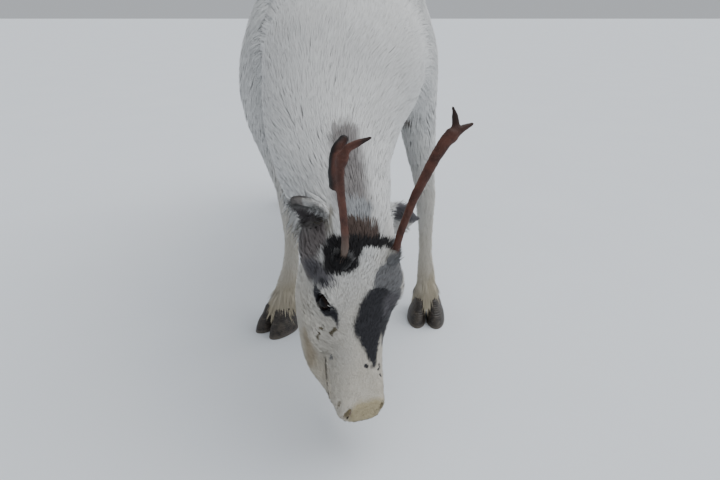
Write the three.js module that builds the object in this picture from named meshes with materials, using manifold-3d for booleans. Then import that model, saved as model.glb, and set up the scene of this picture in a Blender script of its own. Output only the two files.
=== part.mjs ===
// A life-size grazing reindeer in its winter coat: head down at the floor, forelegs set a little apart.
// Millimetres, +Z up. The animal faces -Y and its left side is +X. The floor is Z = 0.
// The flesh is modelled whole from ringed forms.
// Thin cuts then part it into head, neck, torso and legs.
import * as THREE from "three";
import { mergeVertices } from "three/addons/utils/BufferGeometryUtils.js";
import Module from "manifold-3d";

const wasm = await Module();
wasm.setup();
const vec = (x, y, z) => new THREE.Vector3(x, y, z);

// Driving sizes
const GAP = 0.3; // between nodes that touch
const TRUNK_LENGTH = 985; // point of the chest to the buttocks
const TRUNK_YAW = THREE.MathUtils.degToRad(7); // the rump swings to the animal's right
const CHEST = vec(-12, 1035, 0); // front of the trunk's axis, on the floor plan
const ELBOW_CUT = 428; // height of the cut between torso and foreleg
const STIFLE_CUT = 450; // height of the cut between torso and hind leg
const CORONET = 42; // height of the cut between leg and hooves
const EYE_RADIUS = 15;
const LOCK_SEED = 7;

// The head's own frame: +X the animal's left, +Y up the face to the poll, +Z out of the face
const HEAD_AT = vec(9.5, 741, 401);
const HEAD_LEFT = vec(0.884, 0.443, -0.152).normalize();
const HEAD_UP = vec(-0.041, 0.351, 0.936).projectOnPlane(HEAD_LEFT).normalize();
const HEAD_OUT = HEAD_LEFT.clone().cross(HEAD_UP);
const HEAD = new THREE.Matrix4().makeBasis(HEAD_LEFT, HEAD_UP, HEAD_OUT).setPosition(HEAD_AT);

// Materials
const paint = (color, roughness) => new THREE.MeshStandardMaterial({ color, roughness, metalness: 0 });
const WHITE_COAT = paint(0xd9d8d2, 0.9);
const LEG_COAT = paint(0xcdc6b4, 0.9);
const FACE_COAT = paint(0xc9c8c4, 0.85);
const EAR_COAT = paint(0x8b8780, 0.9);
const HORN = paint(0x5b473a, 0.55);
const TINE_HORN = paint(0x4a372d, 0.5);
const HOOF_HORN = paint(0x3a3531, 0.45);
const EYE = paint(0x0c0b0d, 0.05);

// A geometry as a solid that can be joined and cut
function solid(geometry) {
  const bare = geometry.clone();
  bare.deleteAttribute("normal");
  bare.deleteAttribute("uv");
  const merged = mergeVertices(bare, 1e-4);
  return new wasm.Manifold(
    new wasm.Mesh({
      numProp: 3,
      vertProperties: new Float32Array(merged.attributes.position.array),
      triVerts: new Uint32Array(merged.index.array),
    }),
  );
}

const join = (...solids) => solids.reduce((sum, next) => sum.add(next));
const keepBelow = (body, height) => body.trimByPlane([0, 0, -1], -height);
const keepAbove = (body, height) => body.trimByPlane([0, 0, 1], height);

// Keeps only the largest closed surface, then makes a named mesh of it
function node(name, body, material) {
  const largest = body.decompose().reduce((a, b) => (b.volume() > a.volume() ? b : a));
  const { vertProperties, triVerts } = largest.getMesh();
  const geometry = new THREE.BufferGeometry();
  geometry.setAttribute("position", new THREE.BufferAttribute(new Float32Array(vertProperties), 3));
  geometry.setIndex(new THREE.BufferAttribute(new Uint32Array(triVerts), 1));
  geometry.computeVertexNormals();
  const mesh = new THREE.Mesh(geometry, material);
  mesh.name = name;
  return mesh;
}

// Smooth lines through a form's stations: one for the centres, one for the three girths
function linesThrough(stations) {
  const centres = stations.map((s) => vec(s[0], s[1], s[2]));
  const girths = stations.map((s) => vec(s[3], s[4], s[5]));
  return [centres, girths].map((points) => new THREE.CatmullRomCurve3(points, false, "catmullrom", 0.5));
}

// A closed ringed form. A station is [x, y, z, half width, reach ahead, reach behind].
// The half width lies across `front`, the other two along it and against it.
// `square` fattens the outline's corners and `pinch` narrows its back.
// `caps` are the lengths of the rounded ends.
// With an `axis` all rings lie square to it, otherwise each lies square to the line.
function loft(stations, shape) {
  const { front, axis, rings = 16, sides = 16, caps = [20, 20], place } = shape;
  const { square = 0, pinch = 0, grow = 0 } = shape;
  const [line, girth] = linesThrough(stations);
  const positions = [];
  const ringAt = (u, shrink, slip) => {
    const centre = line.getPoint(u);
    const along = axis ?? line.getTangent(u);
    const size = girth.getPoint(u);
    const across = front.clone().cross(along).normalize();
    const ahead = along.clone().cross(across);
    centre.addScaledVector(along, slip);
    for (let k = 0; k < sides; k++) {
      const turn = (2 * Math.PI * k) / sides;
      const swell = 1 + square * Math.sin(2 * turn) ** 2;
      const narrow = 1 - pinch * Math.max(0, -Math.sin(turn));
      const reach = Math.sin(turn) > 0 ? size.y : size.z;
      const point = centre.clone();
      point.addScaledVector(across, shrink * (size.x + grow) * narrow * swell * Math.cos(turn));
      point.addScaledVector(ahead, shrink * (reach + grow) * swell * Math.sin(turn));
      positions.push(point);
    }
  };
  const capRings = 2;
  const capRing = (u, k, reach) => {
    const angle = (k * Math.PI) / 2 / (capRings + 1);
    ringAt(u, Math.cos(angle), reach * Math.sin(angle));
  };
  for (let k = capRings; k > 0; k--) capRing(0, k, -caps[0] - grow);
  for (let k = 0; k < rings; k++) ringAt(k / (rings - 1), 1, 0);
  for (let k = 1; k <= capRings; k++) capRing(1, k, caps[1] + grow);
  const ringCount = positions.length / sides;
  const firstPole = positions.length;
  positions.push(line.getPoint(0).addScaledVector(axis ?? line.getTangent(0), -caps[0] - grow));
  positions.push(line.getPoint(1).addScaledVector(axis ?? line.getTangent(1), caps[1] + grow));
  const faces = [];
  for (let k = 0; k < sides; k++) {
    const next = (k + 1) % sides;
    faces.push(firstPole, next, k);
    for (let r = 0; r < ringCount - 1; r++) {
      const a = r * sides + k;
      const b = r * sides + next;
      faces.push(a, b, b + sides, a, b + sides, a + sides);
    }
    const last = (ringCount - 1) * sides;
    faces.push(firstPole + 1, last + k, last + next);
  }
  const geometry = new THREE.BufferGeometry().setFromPoints(positions);
  geometry.setIndex(faces);
  if (place) geometry.applyMatrix4(place);
  return solid(geometry);
}

// An ellipsoid of three half sizes, turned by Euler angles
function ball(centre, halves, { turn = [0, 0, 0], sides = 16, place } = {}) {
  const geometry = new THREE.SphereGeometry(1, sides, Math.round(sides * 0.625));
  geometry.scale(...halves);
  geometry.rotateX(turn[0]);
  geometry.rotateY(turn[1]);
  geometry.rotateZ(turn[2]);
  geometry.translate(...centre);
  if (place) geometry.applyMatrix4(place);
  return solid(geometry);
}

// Trunk: stations down its own axis, [distance, centre height, half width, reach up, reach down]
const TRUNK_AXIS = vec(-Math.sin(TRUNK_YAW), Math.cos(TRUNK_YAW), 0);
const TRUNK_LEFT = vec(Math.cos(TRUNK_YAW), Math.sin(TRUNK_YAW), 0);
const trunkPoint = (distance, left, height) =>
  CHEST.clone().addScaledVector(TRUNK_AXIS, distance).addScaledVector(TRUNK_LEFT, left).setZ(height);
const TRUNK = [
  [0, 552, 92, 96, 96],
  [60, 562, 134, 160, 138],
  [115, 576, 152, 226, 164],
  [175, 588, 160, 258, 178],
  [250, 592, 170, 254, 190],
  [360, 590, 190, 244, 204],
  [490, 584, 203, 238, 214],
  [640, 590, 204, 240, 204],
  [780, 614, 184, 232, 172],
  [880, 636, 150, 194, 148],
  [TRUNK_LENGTH - 45, 652, 100, 128, 112],
];
function trunk(grow = 0) {
  const stations = TRUNK.map(([distance, height, ...girth]) => [
    ...trunkPoint(distance, 0, height).toArray(),
    ...girth,
  ]);
  const outline = { rings: 20, sides: 20, pinch: 0.08, caps: [36, 45], grow };
  return loft(stations, { front: vec(0, 0, 1), axis: TRUNK_AXIS, ...outline });
}

// Neck: from the skull up and back into the chest.
// Stations are [x, y, z, half width, reach to the crest, reach to the throat].
const NECK = [
  [2, 762, 352, 48, 42, 74],
  [-22, 806, 380, 78, 66, 108],
  [-44, 868, 430, 100, 78, 124],
  [-46, 950, 492, 126, 96, 144],
  [-30, 1045, 560, 152, 120, 166],
  [-26, 1150, 606, 146, 126, 160],
];
const NECK_CREST = vec(0.12, -0.55, 0.83).normalize();
const NECK_PINCH = 0.16;
const neckForm = (grow = 0) =>
  loft(NECK, { front: NECK_CREST, rings: 12, sides: 18, pinch: NECK_PINCH, caps: [20, 40], grow });

// The cut behind the jaw and the one at the base of the neck
const THROAT_NORMAL = vec(0.12, 0.86, 0.5).normalize();
const THROAT_AT = vec(-24, 806, 394);
const COLLAR_NORMAL = vec(0, 0.84, 0.54).normalize();
const COLLAR_AT = vec(-34, 1030, 556);
// Keeps what lies on the side of a plane that its normal points to, `gap` further in
const keepBeyond = (body, normal, at, gap = 0) =>
  body.trimByPlane(normal.toArray(), normal.dot(at) + gap);

// Legs: stations from the body down, [x, y, z, half width, reach ahead, reach behind]
const FORELEG = {
  left: [
    [62, 1216, 716, 44, 80, 84],
    [84, 1204, 656, 53, 100, 102],
    [106, 1186, 572, 56, 104, 100],
    [114, 1174, 508, 51, 88, 88],
    [120, 1166, 456, 44, 64, 72],
    [130, 1150, 385, 34, 42, 50],
    [140, 1130, 312, 24, 30, 30],
    [143, 1126, 284, 24, 29, 27],
    [147, 1121, 205, 17, 20, 21],
    [149, 1117, 145, 17, 20, 21],
    [151, 1110, 106, 21, 25, 29],
    [152, 1096, 72, 24, 27, 28],
    [153, 1088, 36, 31, 36, 30],
  ],
  right: [
    [-124, 1216, 716, 44, 80, 84],
    [-148, 1204, 656, 54, 100, 102],
    [-172, 1186, 572, 64, 104, 100],
    [-186, 1174, 508, 63, 88, 88],
    [-186, 1162, 448, 56, 66, 74],
    [-170, 1138, 372, 40, 46, 50],
    [-156, 1110, 306, 26, 30, 30],
    [-153, 1104, 280, 25, 29, 27],
    [-150, 1092, 205, 17, 20, 21],
    [-153, 1082, 145, 18, 20, 21],
    [-160, 1072, 106, 22, 25, 29],
    [-169, 1056, 72, 25, 27, 28],
    [-176, 1048, 36, 31, 36, 30],
  ],
};
// Hind legs share one set of stations.
// They are [distance down the trunk, side step, height, half width, reach ahead, reach behind].
const HIND_LEG = [
  [806, 56, 730, 58, 140, 112],
  [806, 80, 650, 76, 172, 124],
  [800, 98, 570, 80, 176, 124],
  [802, 106, 500, 66, 138, 106],
  [828, 109, 432, 46, 86, 76],
  [870, 109, 374, 32, 50, 50],
  [906, 108, 326, 26, 36, 38],
  [912, 108, 296, 25, 32, 30],
  [904, 107, 244, 19, 24, 25],
  [894, 107, 195, 17, 21, 22],
  [884, 108, 145, 17, 21, 22],
  [876, 109, 108, 21, 25, 29],
  [861, 110, 74, 24, 27, 28],
  [851, 111, 36, 31, 36, 30],
];
const hindStations = (side) =>
  HIND_LEG.map(([distance, step, height, ...girth]) => [
    ...trunkPoint(distance, side * step, height).toArray(),
    ...girth,
  ]);
const FEET = {
  fore_left: { leg: FORELEG.left, turn: -4, cut: ELBOW_CUT },
  fore_right: { leg: FORELEG.right, turn: -36, cut: ELBOW_CUT },
  hind_left: { leg: hindStations(1), turn: 6, cut: STIFLE_CUT },
  hind_right: { leg: hindStations(-1), turn: -20, cut: STIFLE_CUT },
};
function legForm(foot) {
  const turn = THREE.MathUtils.degToRad(foot.turn / 2);
  const front = vec(0, -1, 0).applyAxisAngle(vec(0, 0, 1), turn);
  return loft(foot.leg, { front, rings: 19, sides: 10, caps: [20, 14] });
}

// A foot's frame stands under the last station of its leg, +Y ahead along the toes
function footFrame(foot) {
  const [x, y] = foot.leg.at(-1);
  const turn = THREE.MathUtils.degToRad(foot.turn + 180);
  return new THREE.Matrix4().makeRotationZ(turn).setPosition(x, y, 0);
}
// One claw of the cloven hoof: broad, crescent shaped and flat underneath
const CLAW_SPLIT = 1.6; // half the cleft
function claw(side, frame) {
  const stations = [
    [side * 15, 2, CORONET + 8, 15, 30, 22],
    [side * 17, 4, 30, 19, 37, 27],
    [side * 20, 7, 12, 22, 46, 31],
    [side * 21, 9, -6, 23, 51, 32],
  ];
  const whole = loft(stations, { front: vec(0, 1, 0), rings: 4, sides: 9, caps: [8, 4] });
  const cleft = whole.trimByPlane([side, 0.05, 0], CLAW_SPLIT + 0.8);
  const sole = keepAbove(keepBelow(cleft, CORONET - GAP), 0);
  return sole.transform(frame.elements);
}
// A dewclaw hangs behind the pastern and stops short of the floor
const dewclaw = (side, frame, grow = 0) =>
  loft(
    [
      [side * 15, -20, 66, 8, 9, 9],
      [side * 20, -31, 48, 10, 11, 10],
      [side * 22, -38, 27, 8, 9, 7],
      [side * 21, -41, 14, 5, 6, 4],
    ],
    { front: vec(0, 1, 0), rings: 3, sides: 6, caps: [4, 3], grow, place: frame },
  );

// Skull and upper muzzle in the head's frame, [distance down the face, half width, face level, depth]
const SKULL = [
  [2, 54, -6, 100],
  [34, 63, 6, 122],
  [72, 66, 9, 136],
  [108, 67, 5, 142],
  [142, 64, 0, 136],
  [164, 56, -3, 120],
  [188, 47, -5, 102],
  [216, 42, -7, 88],
  [248, 40, -8, 77],
  [280, 41, -9, 67],
  [302, 40, -11, 60],
  [321, 34, -17, 48],
];
// Lower jaw, [distance down the face, half width, centre level, half depth]
const JAW = [
  [96, 56, -118, 56],
  [132, 61, -124, 59],
  [170, 61, -125, 57],
  [200, 59, -123, 54],
  [232, 57, -117, 45],
  [260, 53, -105, 35],
  [286, 39, -90, 22],
  [306, 29, -76, 14],
];
const ALONG_FACE = { front: vec(0, 0, 1), axis: vec(0, -1, 0), place: HEAD };
function skullForm(grow = 0) {
  const stations = SKULL.map(([down, half, level, depth]) => {
    const reach = depth / 2;
    return [0, -down, level - reach, half, reach, reach];
  });
  const outline = { rings: 20, sides: 20, square: 0.1, pinch: 0.06, caps: [30, 11], grow };
  return loft(stations, { ...ALONG_FACE, ...outline });
}
function jawForm(grow = 0) {
  const stations = JAW.map(([down, half, level, deep]) => [0, -down, level, half, deep, deep]);
  return loft(stations, { ...ALONG_FACE, rings: 12, sides: 12, square: 0.05, caps: [22, 10], grow });
}

// Eyes: the ball sits in an orbit that swells from the skull, behind an almond gap between the lids
const EYE_AT = (side) => vec(side * 51, -141, -28);
const LID_THICKNESS = 4;
const EYE_AXIS = (side) => vec(side * 0.93, -0.06, 0.36).normalize();
const eyeball = (side, grow = 0) => {
  const radius = EYE_RADIUS + grow;
  return ball(EYE_AT(side).toArray(), [radius, radius, radius], { sides: 14, place: HEAD });
};
function orbit(side) {
  const lidBall = EYE_RADIUS + LID_THICKNESS;
  const rim = ball(EYE_AT(side).toArray(), [lidBall, lidBall * 1.12, lidBall * 1.04], { sides: 14 });
  const brow = ball([side * 52, -120, -20], [20, 36, 24], { turn: [0, 0, side * 0.1], sides: 10 });
  const cheek = ball([side * 40, -156, -76], [26, 66, 54], { turn: [0.1, 0, 0], sides: 12 });
  return join(rim, brow, cheek).transform(HEAD.elements);
}
function lidGap(side) {
  const almond = new THREE.Shape();
  almond.moveTo(-14, -1);
  almond.quadraticCurveTo(-2, 22, 14, 2);
  almond.quadraticCurveTo(2, -19, -14, -1);
  const geometry = new THREE.ExtrudeGeometry(almond, { depth: 30, bevelEnabled: false, curveSegments: 5 });
  const outward = new THREE.Matrix4().lookAt(EYE_AXIS(side), vec(0, 0, 0), vec(0, 1, 0));
  geometry.rotateZ(side * 0.95);
  geometry.applyMatrix4(outward).applyMatrix4(new THREE.Matrix4().setPosition(EYE_AT(side)));
  return solid(geometry.applyMatrix4(HEAD));
}

// Nostrils: a raised wing with a comma-shaped pit. Mouth: a fine groove round the muzzle between full lips
function nostrilWing(side) {
  return ball([side * 25, -304, -25], [12, 17, 11], { turn: [0.3, 0, side * 0.3], sides: 12, place: HEAD });
}
function nostrilPit(side) {
  const pit = ball([side * 29, -310, -21], [5, 11, 9], { turn: [0.5, side * 0.2, side * 0.5], sides: 8 });
  const comma = ball([side * 34, -298, -30], [7, 9, 3.5], { turn: [0.7, 0, side * 0.3], sides: 8 });
  return join(pit, comma).transform(HEAD.elements);
}
const MOUTH_DOWN = [242, 260, 278, 294, 306, 315];
const MOUTH_HALF = [32, 34, 35.5, 34, 29, 17];
const MOUTH_LEVEL = [-77, -73, -69, -65, -61, -59];
function mouthLine() {
  const oneSide = MOUTH_DOWN.map((down, k) => vec(MOUTH_HALF[k], -down, MOUTH_LEVEL[k]));
  const otherSide = oneSide.map((p) => vec(-p.x, p.y, p.z)).reverse();
  return new THREE.CatmullRomCurve3([...oneSide, vec(0, -320, -58), ...otherSide]);
}
function alongMouth(radius, lift) {
  const round = new THREE.Shape().absarc(0, 0, radius, 0, 2 * Math.PI);
  const options = { steps: 14, curveSegments: 3, extrudePath: mouthLine(), bevelEnabled: false };
  const geometry = new THREE.ExtrudeGeometry(round, options).translate(0, 0, lift);
  return solid(geometry.applyMatrix4(HEAD));
}
const LIPS = { upper: { radius: 6, lift: 4 }, lower: { radius: 5, lift: -6 } };
const MOUTH_GROOVE = { radius: 1.6, lift: -1 };

// Ears: a leaf-shaped shell with a deep cup, in the head's frame
const EARS = {
  left: { root: [52, -30, -56], tip: [124, -24, -54], opens: vec(0.25, -0.35, 0.9) },
  right: { root: [-54, -30, -58], tip: [-108, 6, -8], opens: vec(-0.74, -0.3, 0.5) },
};
const EAR_SECTIONS = [0, 0.18, 0.4, 0.62, 0.84, 1];
const EAR_HALF = [15, 22, 27, 25, 16, 4];
const EAR_DEEP = [15, 17, 15, 12, 8, 3];
function earShape(ear, slim, shift, from, grow = 0) {
  const root = vec(...ear.root);
  const reach = vec(...ear.tip).sub(root);
  const opens = ear.opens.clone().projectOnPlane(reach).normalize();
  const stations = EAR_SECTIONS.filter((s) => s >= from).map((s) => {
    const k = EAR_SECTIONS.indexOf(s);
    const bow = 9 * Math.sin(Math.PI * s);
    const centre = root.clone().addScaledVector(reach, s * (1 - slim / 90));
    centre.addScaledVector(opens, shift - bow);
    const halves = [EAR_HALF[k], EAR_DEEP[k], EAR_DEEP[k]].map((h) => Math.max(1.6, h - slim));
    return [...centre.toArray(), ...halves];
  });
  return loft(stations, { front: opens, rings: 8, sides: 10, caps: [10, 5], grow, place: HEAD });
}
const EAR_WALL = 4.5;
function ear(which) {
  const shell = earShape(EARS[which], 0, 0, 0);
  const cup = earShape(EARS[which], EAR_WALL, 9.5, 0.18);
  return shell.subtract(cup);
}

// Antlers: a beam that flattens towards its fork, and tapering tines, in the head's frame.
// A station is [x, y, z, half width, half depth ahead, behind].
const ANTLERS = {
  left: {
    beam: [
      [43, -90, -14, 8, 8, 8],
      [44, -66, 8, 6, 6, 6],
      [44, -40, 24, 5.4, 6, 6],
      [52, 4, 45, 6.2, 6.6, 6.6],
      [62, 33, 58, 7, 7.4, 7.4],
      [72, 60, 70, 8, 8, 8],
      [83, 82, 80, 9.4, 8, 8],
      [91, 92, 84, 9.6, 7, 7],
    ],
    tines: {
      upper: [
        [91, 88, 83, 7, 6, 6],
        [96, 104, 86, 5.4, 5, 5],
        [94, 117, 88, 4, 3.8, 3.8],
        [90, 125, 90, 2, 2, 2],
      ],
      outer: [
        [92, 92, 83, 7, 6, 6],
        [106, 100, 87, 5.6, 5, 5],
        [119, 106, 90, 2.6, 2.6, 2.6],
      ],
    },
  },
  right: {
    beam: [
      [-42, -92, -12, 7, 7, 7],
      [-42, -70, 8, 5.4, 5.4, 5.4],
      [-47, -44, 22, 5.4, 5.8, 5.8],
      [-58, -14, 40, 5.4, 6.4, 6.4],
      [-67, 14, 53, 5.6, 7.4, 7.4],
      [-72, 41, 62, 6.2, 9, 9],
      [-71, 58, 66, 7, 9, 9],
    ],
    tines: {
      inner: [
        [-71, 52, 68, 6, 5.6, 5.6],
        [-67, 66, 73, 5.4, 5.2, 5.2],
        [-55, 74, 80, 4.6, 4.4, 4.4],
        [-43, 79, 86, 2.2, 2.2, 2.2],
      ],
      rear: [
        [-73, 22, 44, 6, 9, 9],
        [-74, 44, 50, 8, 10, 10],
        [-71, 66, 54, 9, 8, 8],
        [-62, 82, 56, 6, 5, 5],
      ],
    },
  },
};
const antlerForm = (stations, rings, sides, caps, grow = 0) =>
  loft(stations, { front: vec(0.2, 0.55, -0.8), rings, sides, caps, grow, place: HEAD });
const beamForm = (which, grow = 0) => antlerForm(ANTLERS[which].beam, 13, 8, [6, 7], grow);

// A flat tapered lock of hair. It leaves along `heading`, then bends to hang down
function lock(root, heading, flat, { length, width, thick, droop }) {
  const steps = 3;
  const stations = [];
  const point = root.clone();
  const way = heading.clone().normalize();
  for (let k = 0; k <= steps; k++) {
    const s = k / steps;
    const taper = 1 - 0.85 * s ** 1.6;
    const half = width * taper * (0.8 + 0.5 * Math.sin(Math.PI * s));
    stations.push([...point.toArray(), half, thick * taper]);
    way.addScaledVector(vec(0, 0, -1), droop).normalize();
    point.addScaledVector(way, length / steps);
  }
  return lockBody(stations, flat);
}
// The lock's body: diamond rings closed by a blunt root and a tip
function lockBody(stations, flat) {
  const points = [];
  stations.forEach(([x, y, z, half, thick], k) => {
    const here = vec(x, y, z);
    const near = stations[Math.min(k + 1, stations.length - 1)];
    const back = stations[Math.max(k - 1, 0)];
    const along = vec(near[0] - back[0], near[1] - back[1], near[2] - back[2]).normalize();
    const across = flat.clone().cross(along).normalize();
    const out = along.clone().cross(across);
    points.push(here.clone().addScaledVector(across, half), here.clone().addScaledVector(out, thick));
    points.push(here.clone().addScaledVector(across, -half), here.clone().addScaledVector(out, -thick));
  });
  const faces = [0, 2, 1, 0, 3, 2];
  for (let r = 0; r < stations.length - 1; r++) {
    for (let k = 0; k < 4; k++) {
      const a = r * 4 + k;
      const b = r * 4 + ((k + 1) % 4);
      faces.push(a, b, b + 4, a, b + 4, a + 4);
    }
  }
  const last = (stations.length - 1) * 4;
  faces.push(last, last + 1, last + 2, last, last + 2, last + 3);
  const geometry = new THREE.BufferGeometry().setFromPoints(points);
  geometry.setIndex(faces);
  return solid(geometry);
}
let draw = LOCK_SEED;
const random = () => {
  draw = (draw * 16807) % 2147483647;
  return draw / 2147483647;
};
const vary = (size, share) => size * (1 + share * (2 * random() - 1));

// The throat mane: rows of locks down the underside of the neck, longest along the middle
const MANE_ROWS = 8;
const MANE_COLUMNS = 6;
const MANE_FIRST = 0.2; // share of the neck's line where the mane begins
const MANE_LAST = 0.66;
const MANE_SWEEP = 1.9; // angle round the neck that the mane covers
function maneLocks() {
  const [line, girth] = linesThrough(NECK);
  const locks = [];
  for (let row = 0; row < MANE_ROWS; row++) {
    const u = MANE_FIRST + ((MANE_LAST - MANE_FIRST) * row) / (MANE_ROWS - 1);
    for (let column = 0; column < MANE_COLUMNS; column++) {
      const spread = column / (MANE_COLUMNS - 1) - 0.5 + (row % 2 ? 0.05 : -0.05);
      const around = -Math.PI / 2 + spread * MANE_SWEEP;
      const along = line.getTangent(u);
      const across = NECK_CREST.clone().cross(along).normalize();
      const ahead = along.clone().cross(across);
      const reach = girth.getPoint(u);
      const outward = across.clone().multiplyScalar(Math.cos(around));
      outward.addScaledVector(ahead, Math.sin(around));
      const narrow = 1 - NECK_PINCH * Math.max(0, -Math.sin(around));
      const skin = line.getPoint(u);
      skin.addScaledVector(across, reach.x * narrow * Math.cos(around));
      skin.addScaledVector(ahead, reach.z * Math.sin(around));
      skin.addScaledVector(outward, -13);
      const middle = 1 - Math.abs(spread) * 0.9;
      const heading = outward.clone().multiplyScalar(0.7).addScaledVector(along, 0.8).add(vec(0, 0, -0.4));
      const size = { length: vary(118, 0.15) * middle, width: vary(20, 0.15), thick: 5, droop: 0.3 };
      locks.push(lock(skin, heading, outward, size));
    }
  }
  return locks;
}

// The tail: a short flat drop with a fringe of locks
const TAIL_ROOT = trunkPoint(TRUNK_LENGTH - 38, 0, 752);
function tailForm(grow = 0) {
  const back = (distance, height) => TAIL_ROOT.clone().addScaledVector(TRUNK_AXIS, distance).setZ(height);
  const stations = [
    [...back(-14, 742).toArray(), 24, 15, 15],
    [...back(22, 734).toArray(), 28, 16, 16],
    [...back(42, 700).toArray(), 30, 16, 16],
    [...back(46, 652).toArray(), 22, 12, 12],
  ];
  return loft(stations, { front: TRUNK_AXIS, rings: 6, sides: 10, caps: [10, 14], grow });
}
const TAIL_LOCKS = 10;
function tailLocks() {
  const locks = [];
  for (let k = 0; k < TAIL_LOCKS; k++) {
    const turn = (2 * Math.PI * k) / TAIL_LOCKS;
    const tier = k % 2;
    const outward = TRUNK_LEFT.clone().multiplyScalar(Math.cos(turn));
    outward.addScaledVector(TRUNK_AXIS, Math.sin(turn));
    const root = TAIL_ROOT.clone().addScaledVector(TRUNK_AXIS, 42 + 5 * Math.sin(turn)).setZ(696 - 30 * tier);
    root.addScaledVector(TRUNK_LEFT, 14 * Math.cos(turn));
    const heading = outward.clone().multiplyScalar(0.35).add(vec(0, 0, -1));
    const size = { length: vary(74, 0.15), width: vary(13, 0.2), thick: 4, droop: 0.1 };
    locks.push(lock(root, heading, outward, size));
  }
  return locks;
}

// Parting the whole into nodes
const legs = Object.fromEntries(Object.entries(FEET).map(([name, foot]) => [name, legForm(foot)]));
const wholeNeck = neckForm();
const tail = join(tailForm(), ...tailLocks()).subtract(trunk(GAP));

const stumps = Object.entries(FEET).map(([name, foot]) => keepAbove(legs[name], foot.cut));
const neckRoot = keepBeyond(wholeNeck, COLLAR_NORMAL, COLLAR_AT);
const torso = join(trunk(), neckRoot, ...stumps);

const neckBelow = wholeNeck.trimByPlane(
  COLLAR_NORMAL.clone().negate().toArray(),
  -COLLAR_NORMAL.dot(COLLAR_AT) + GAP,
);
const neckMiddle = keepBeyond(neckBelow, THROAT_NORMAL, THROAT_AT, GAP);
const keepAhead = (body, gap = 0) =>
  body.trimByPlane(THROAT_NORMAL.clone().negate().toArray(), -THROAT_NORMAL.dot(THROAT_AT) - gap);
let neck = join(neckMiddle, ...maneLocks()).subtract(trunk(GAP));
neck = neck.subtract(keepAhead(neckForm(GAP), GAP));
neck = neck.subtract(skullForm(GAP)).subtract(jawForm(GAP));
for (const which of ["left", "right"]) neck = neck.subtract(earShape(EARS[which], 0, 0, 0, GAP));

const sides = [-1, 1];
let head = join(skullForm(), jawForm(), ...sides.map(orbit), ...sides.map(nostrilWing));
for (const { radius, lift } of Object.values(LIPS)) head = head.add(alongMouth(radius, lift));
head = keepAhead(head.add(wholeNeck));
for (const side of sides) {
  head = head.subtract(eyeball(side, GAP)).subtract(lidGap(side)).subtract(nostrilPit(side));
}
head = head.subtract(alongMouth(MOUTH_GROOVE.radius, MOUTH_GROOVE.lift));
for (const which of ["left", "right"]) {
  head = head.subtract(beamForm(which, GAP)).subtract(earShape(EARS[which], 0, 0, 0, GAP));
}

const animal = new THREE.Group();
animal.add(node("torso", torso, WHITE_COAT), node("neck", neck, WHITE_COAT), node("head", head, FACE_COAT));
animal.add(node("tail", tail, WHITE_COAT));
for (const [name, foot] of Object.entries(FEET)) {
  const frame = footFrame(foot);
  const dewclaws = sides.map((side) => dewclaw(side, frame));
  let leg = keepAbove(keepBelow(legs[name], foot.cut - GAP), CORONET);
  leg = leg.subtract(trunk(GAP));
  for (const side of sides) leg = leg.subtract(dewclaw(side, frame, GAP));
  animal.add(node(`leg_${name}`, leg, LEG_COAT));
  sides.forEach((side, k) => {
    const toe = side > 0 ? "a" : "b";
    animal.add(node(`hoof_${name}_${toe}`, claw(side, frame), HOOF_HORN));
    animal.add(node(`dewclaw_${name}_${toe}`, dewclaws[k], HOOF_HORN));
  });
}
for (const side of sides) {
  const which = side > 0 ? "left" : "right";
  animal.add(node(`eye_${which}`, eyeball(side), EYE), node(`ear_${which}`, ear(which), EAR_COAT));
  animal.add(node(`antler_${which}_beam`, beamForm(which), HORN));
  let taken = beamForm(which, GAP);
  for (const [tine, stations] of Object.entries(ANTLERS[which].tines)) {
    const whole = antlerForm(stations, 5, 7, [4, 3]);
    animal.add(node(`antler_${which}_${tine}_tine`, whole.subtract(taken), TINE_HORN));
    taken = taken.add(antlerForm(stations, 5, 7, [4, 3], GAP));
  }
}

// The origin is the middle of the animal's box, on the floor
const box = new THREE.Box3().setFromObject(animal);
const middle = box.getCenter(vec(0, 0, 0));
animal.position.set(-middle.x, -middle.y, 0);

export default animal;
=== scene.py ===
import bmesh
import bpy
import numpy as np
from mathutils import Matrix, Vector


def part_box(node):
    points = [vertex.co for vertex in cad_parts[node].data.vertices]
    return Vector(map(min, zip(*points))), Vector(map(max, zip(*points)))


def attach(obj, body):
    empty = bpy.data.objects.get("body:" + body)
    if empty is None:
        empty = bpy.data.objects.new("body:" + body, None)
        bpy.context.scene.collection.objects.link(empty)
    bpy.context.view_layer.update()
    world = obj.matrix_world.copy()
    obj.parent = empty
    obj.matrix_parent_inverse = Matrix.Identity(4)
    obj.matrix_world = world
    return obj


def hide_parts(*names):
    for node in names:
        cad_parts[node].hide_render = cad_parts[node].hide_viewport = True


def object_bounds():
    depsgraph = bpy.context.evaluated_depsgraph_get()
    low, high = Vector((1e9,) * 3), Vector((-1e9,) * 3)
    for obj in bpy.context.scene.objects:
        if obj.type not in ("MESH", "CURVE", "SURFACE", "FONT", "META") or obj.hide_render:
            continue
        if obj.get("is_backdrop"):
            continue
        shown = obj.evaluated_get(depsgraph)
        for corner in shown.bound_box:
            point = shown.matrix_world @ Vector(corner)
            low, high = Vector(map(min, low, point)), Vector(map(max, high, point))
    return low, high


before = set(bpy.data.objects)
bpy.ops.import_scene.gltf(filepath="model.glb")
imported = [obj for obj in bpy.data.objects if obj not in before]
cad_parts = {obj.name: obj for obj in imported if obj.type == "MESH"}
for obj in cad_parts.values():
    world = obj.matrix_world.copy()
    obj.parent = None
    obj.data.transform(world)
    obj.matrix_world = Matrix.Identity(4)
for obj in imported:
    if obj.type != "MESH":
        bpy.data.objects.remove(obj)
cad_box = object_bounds()

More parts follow.
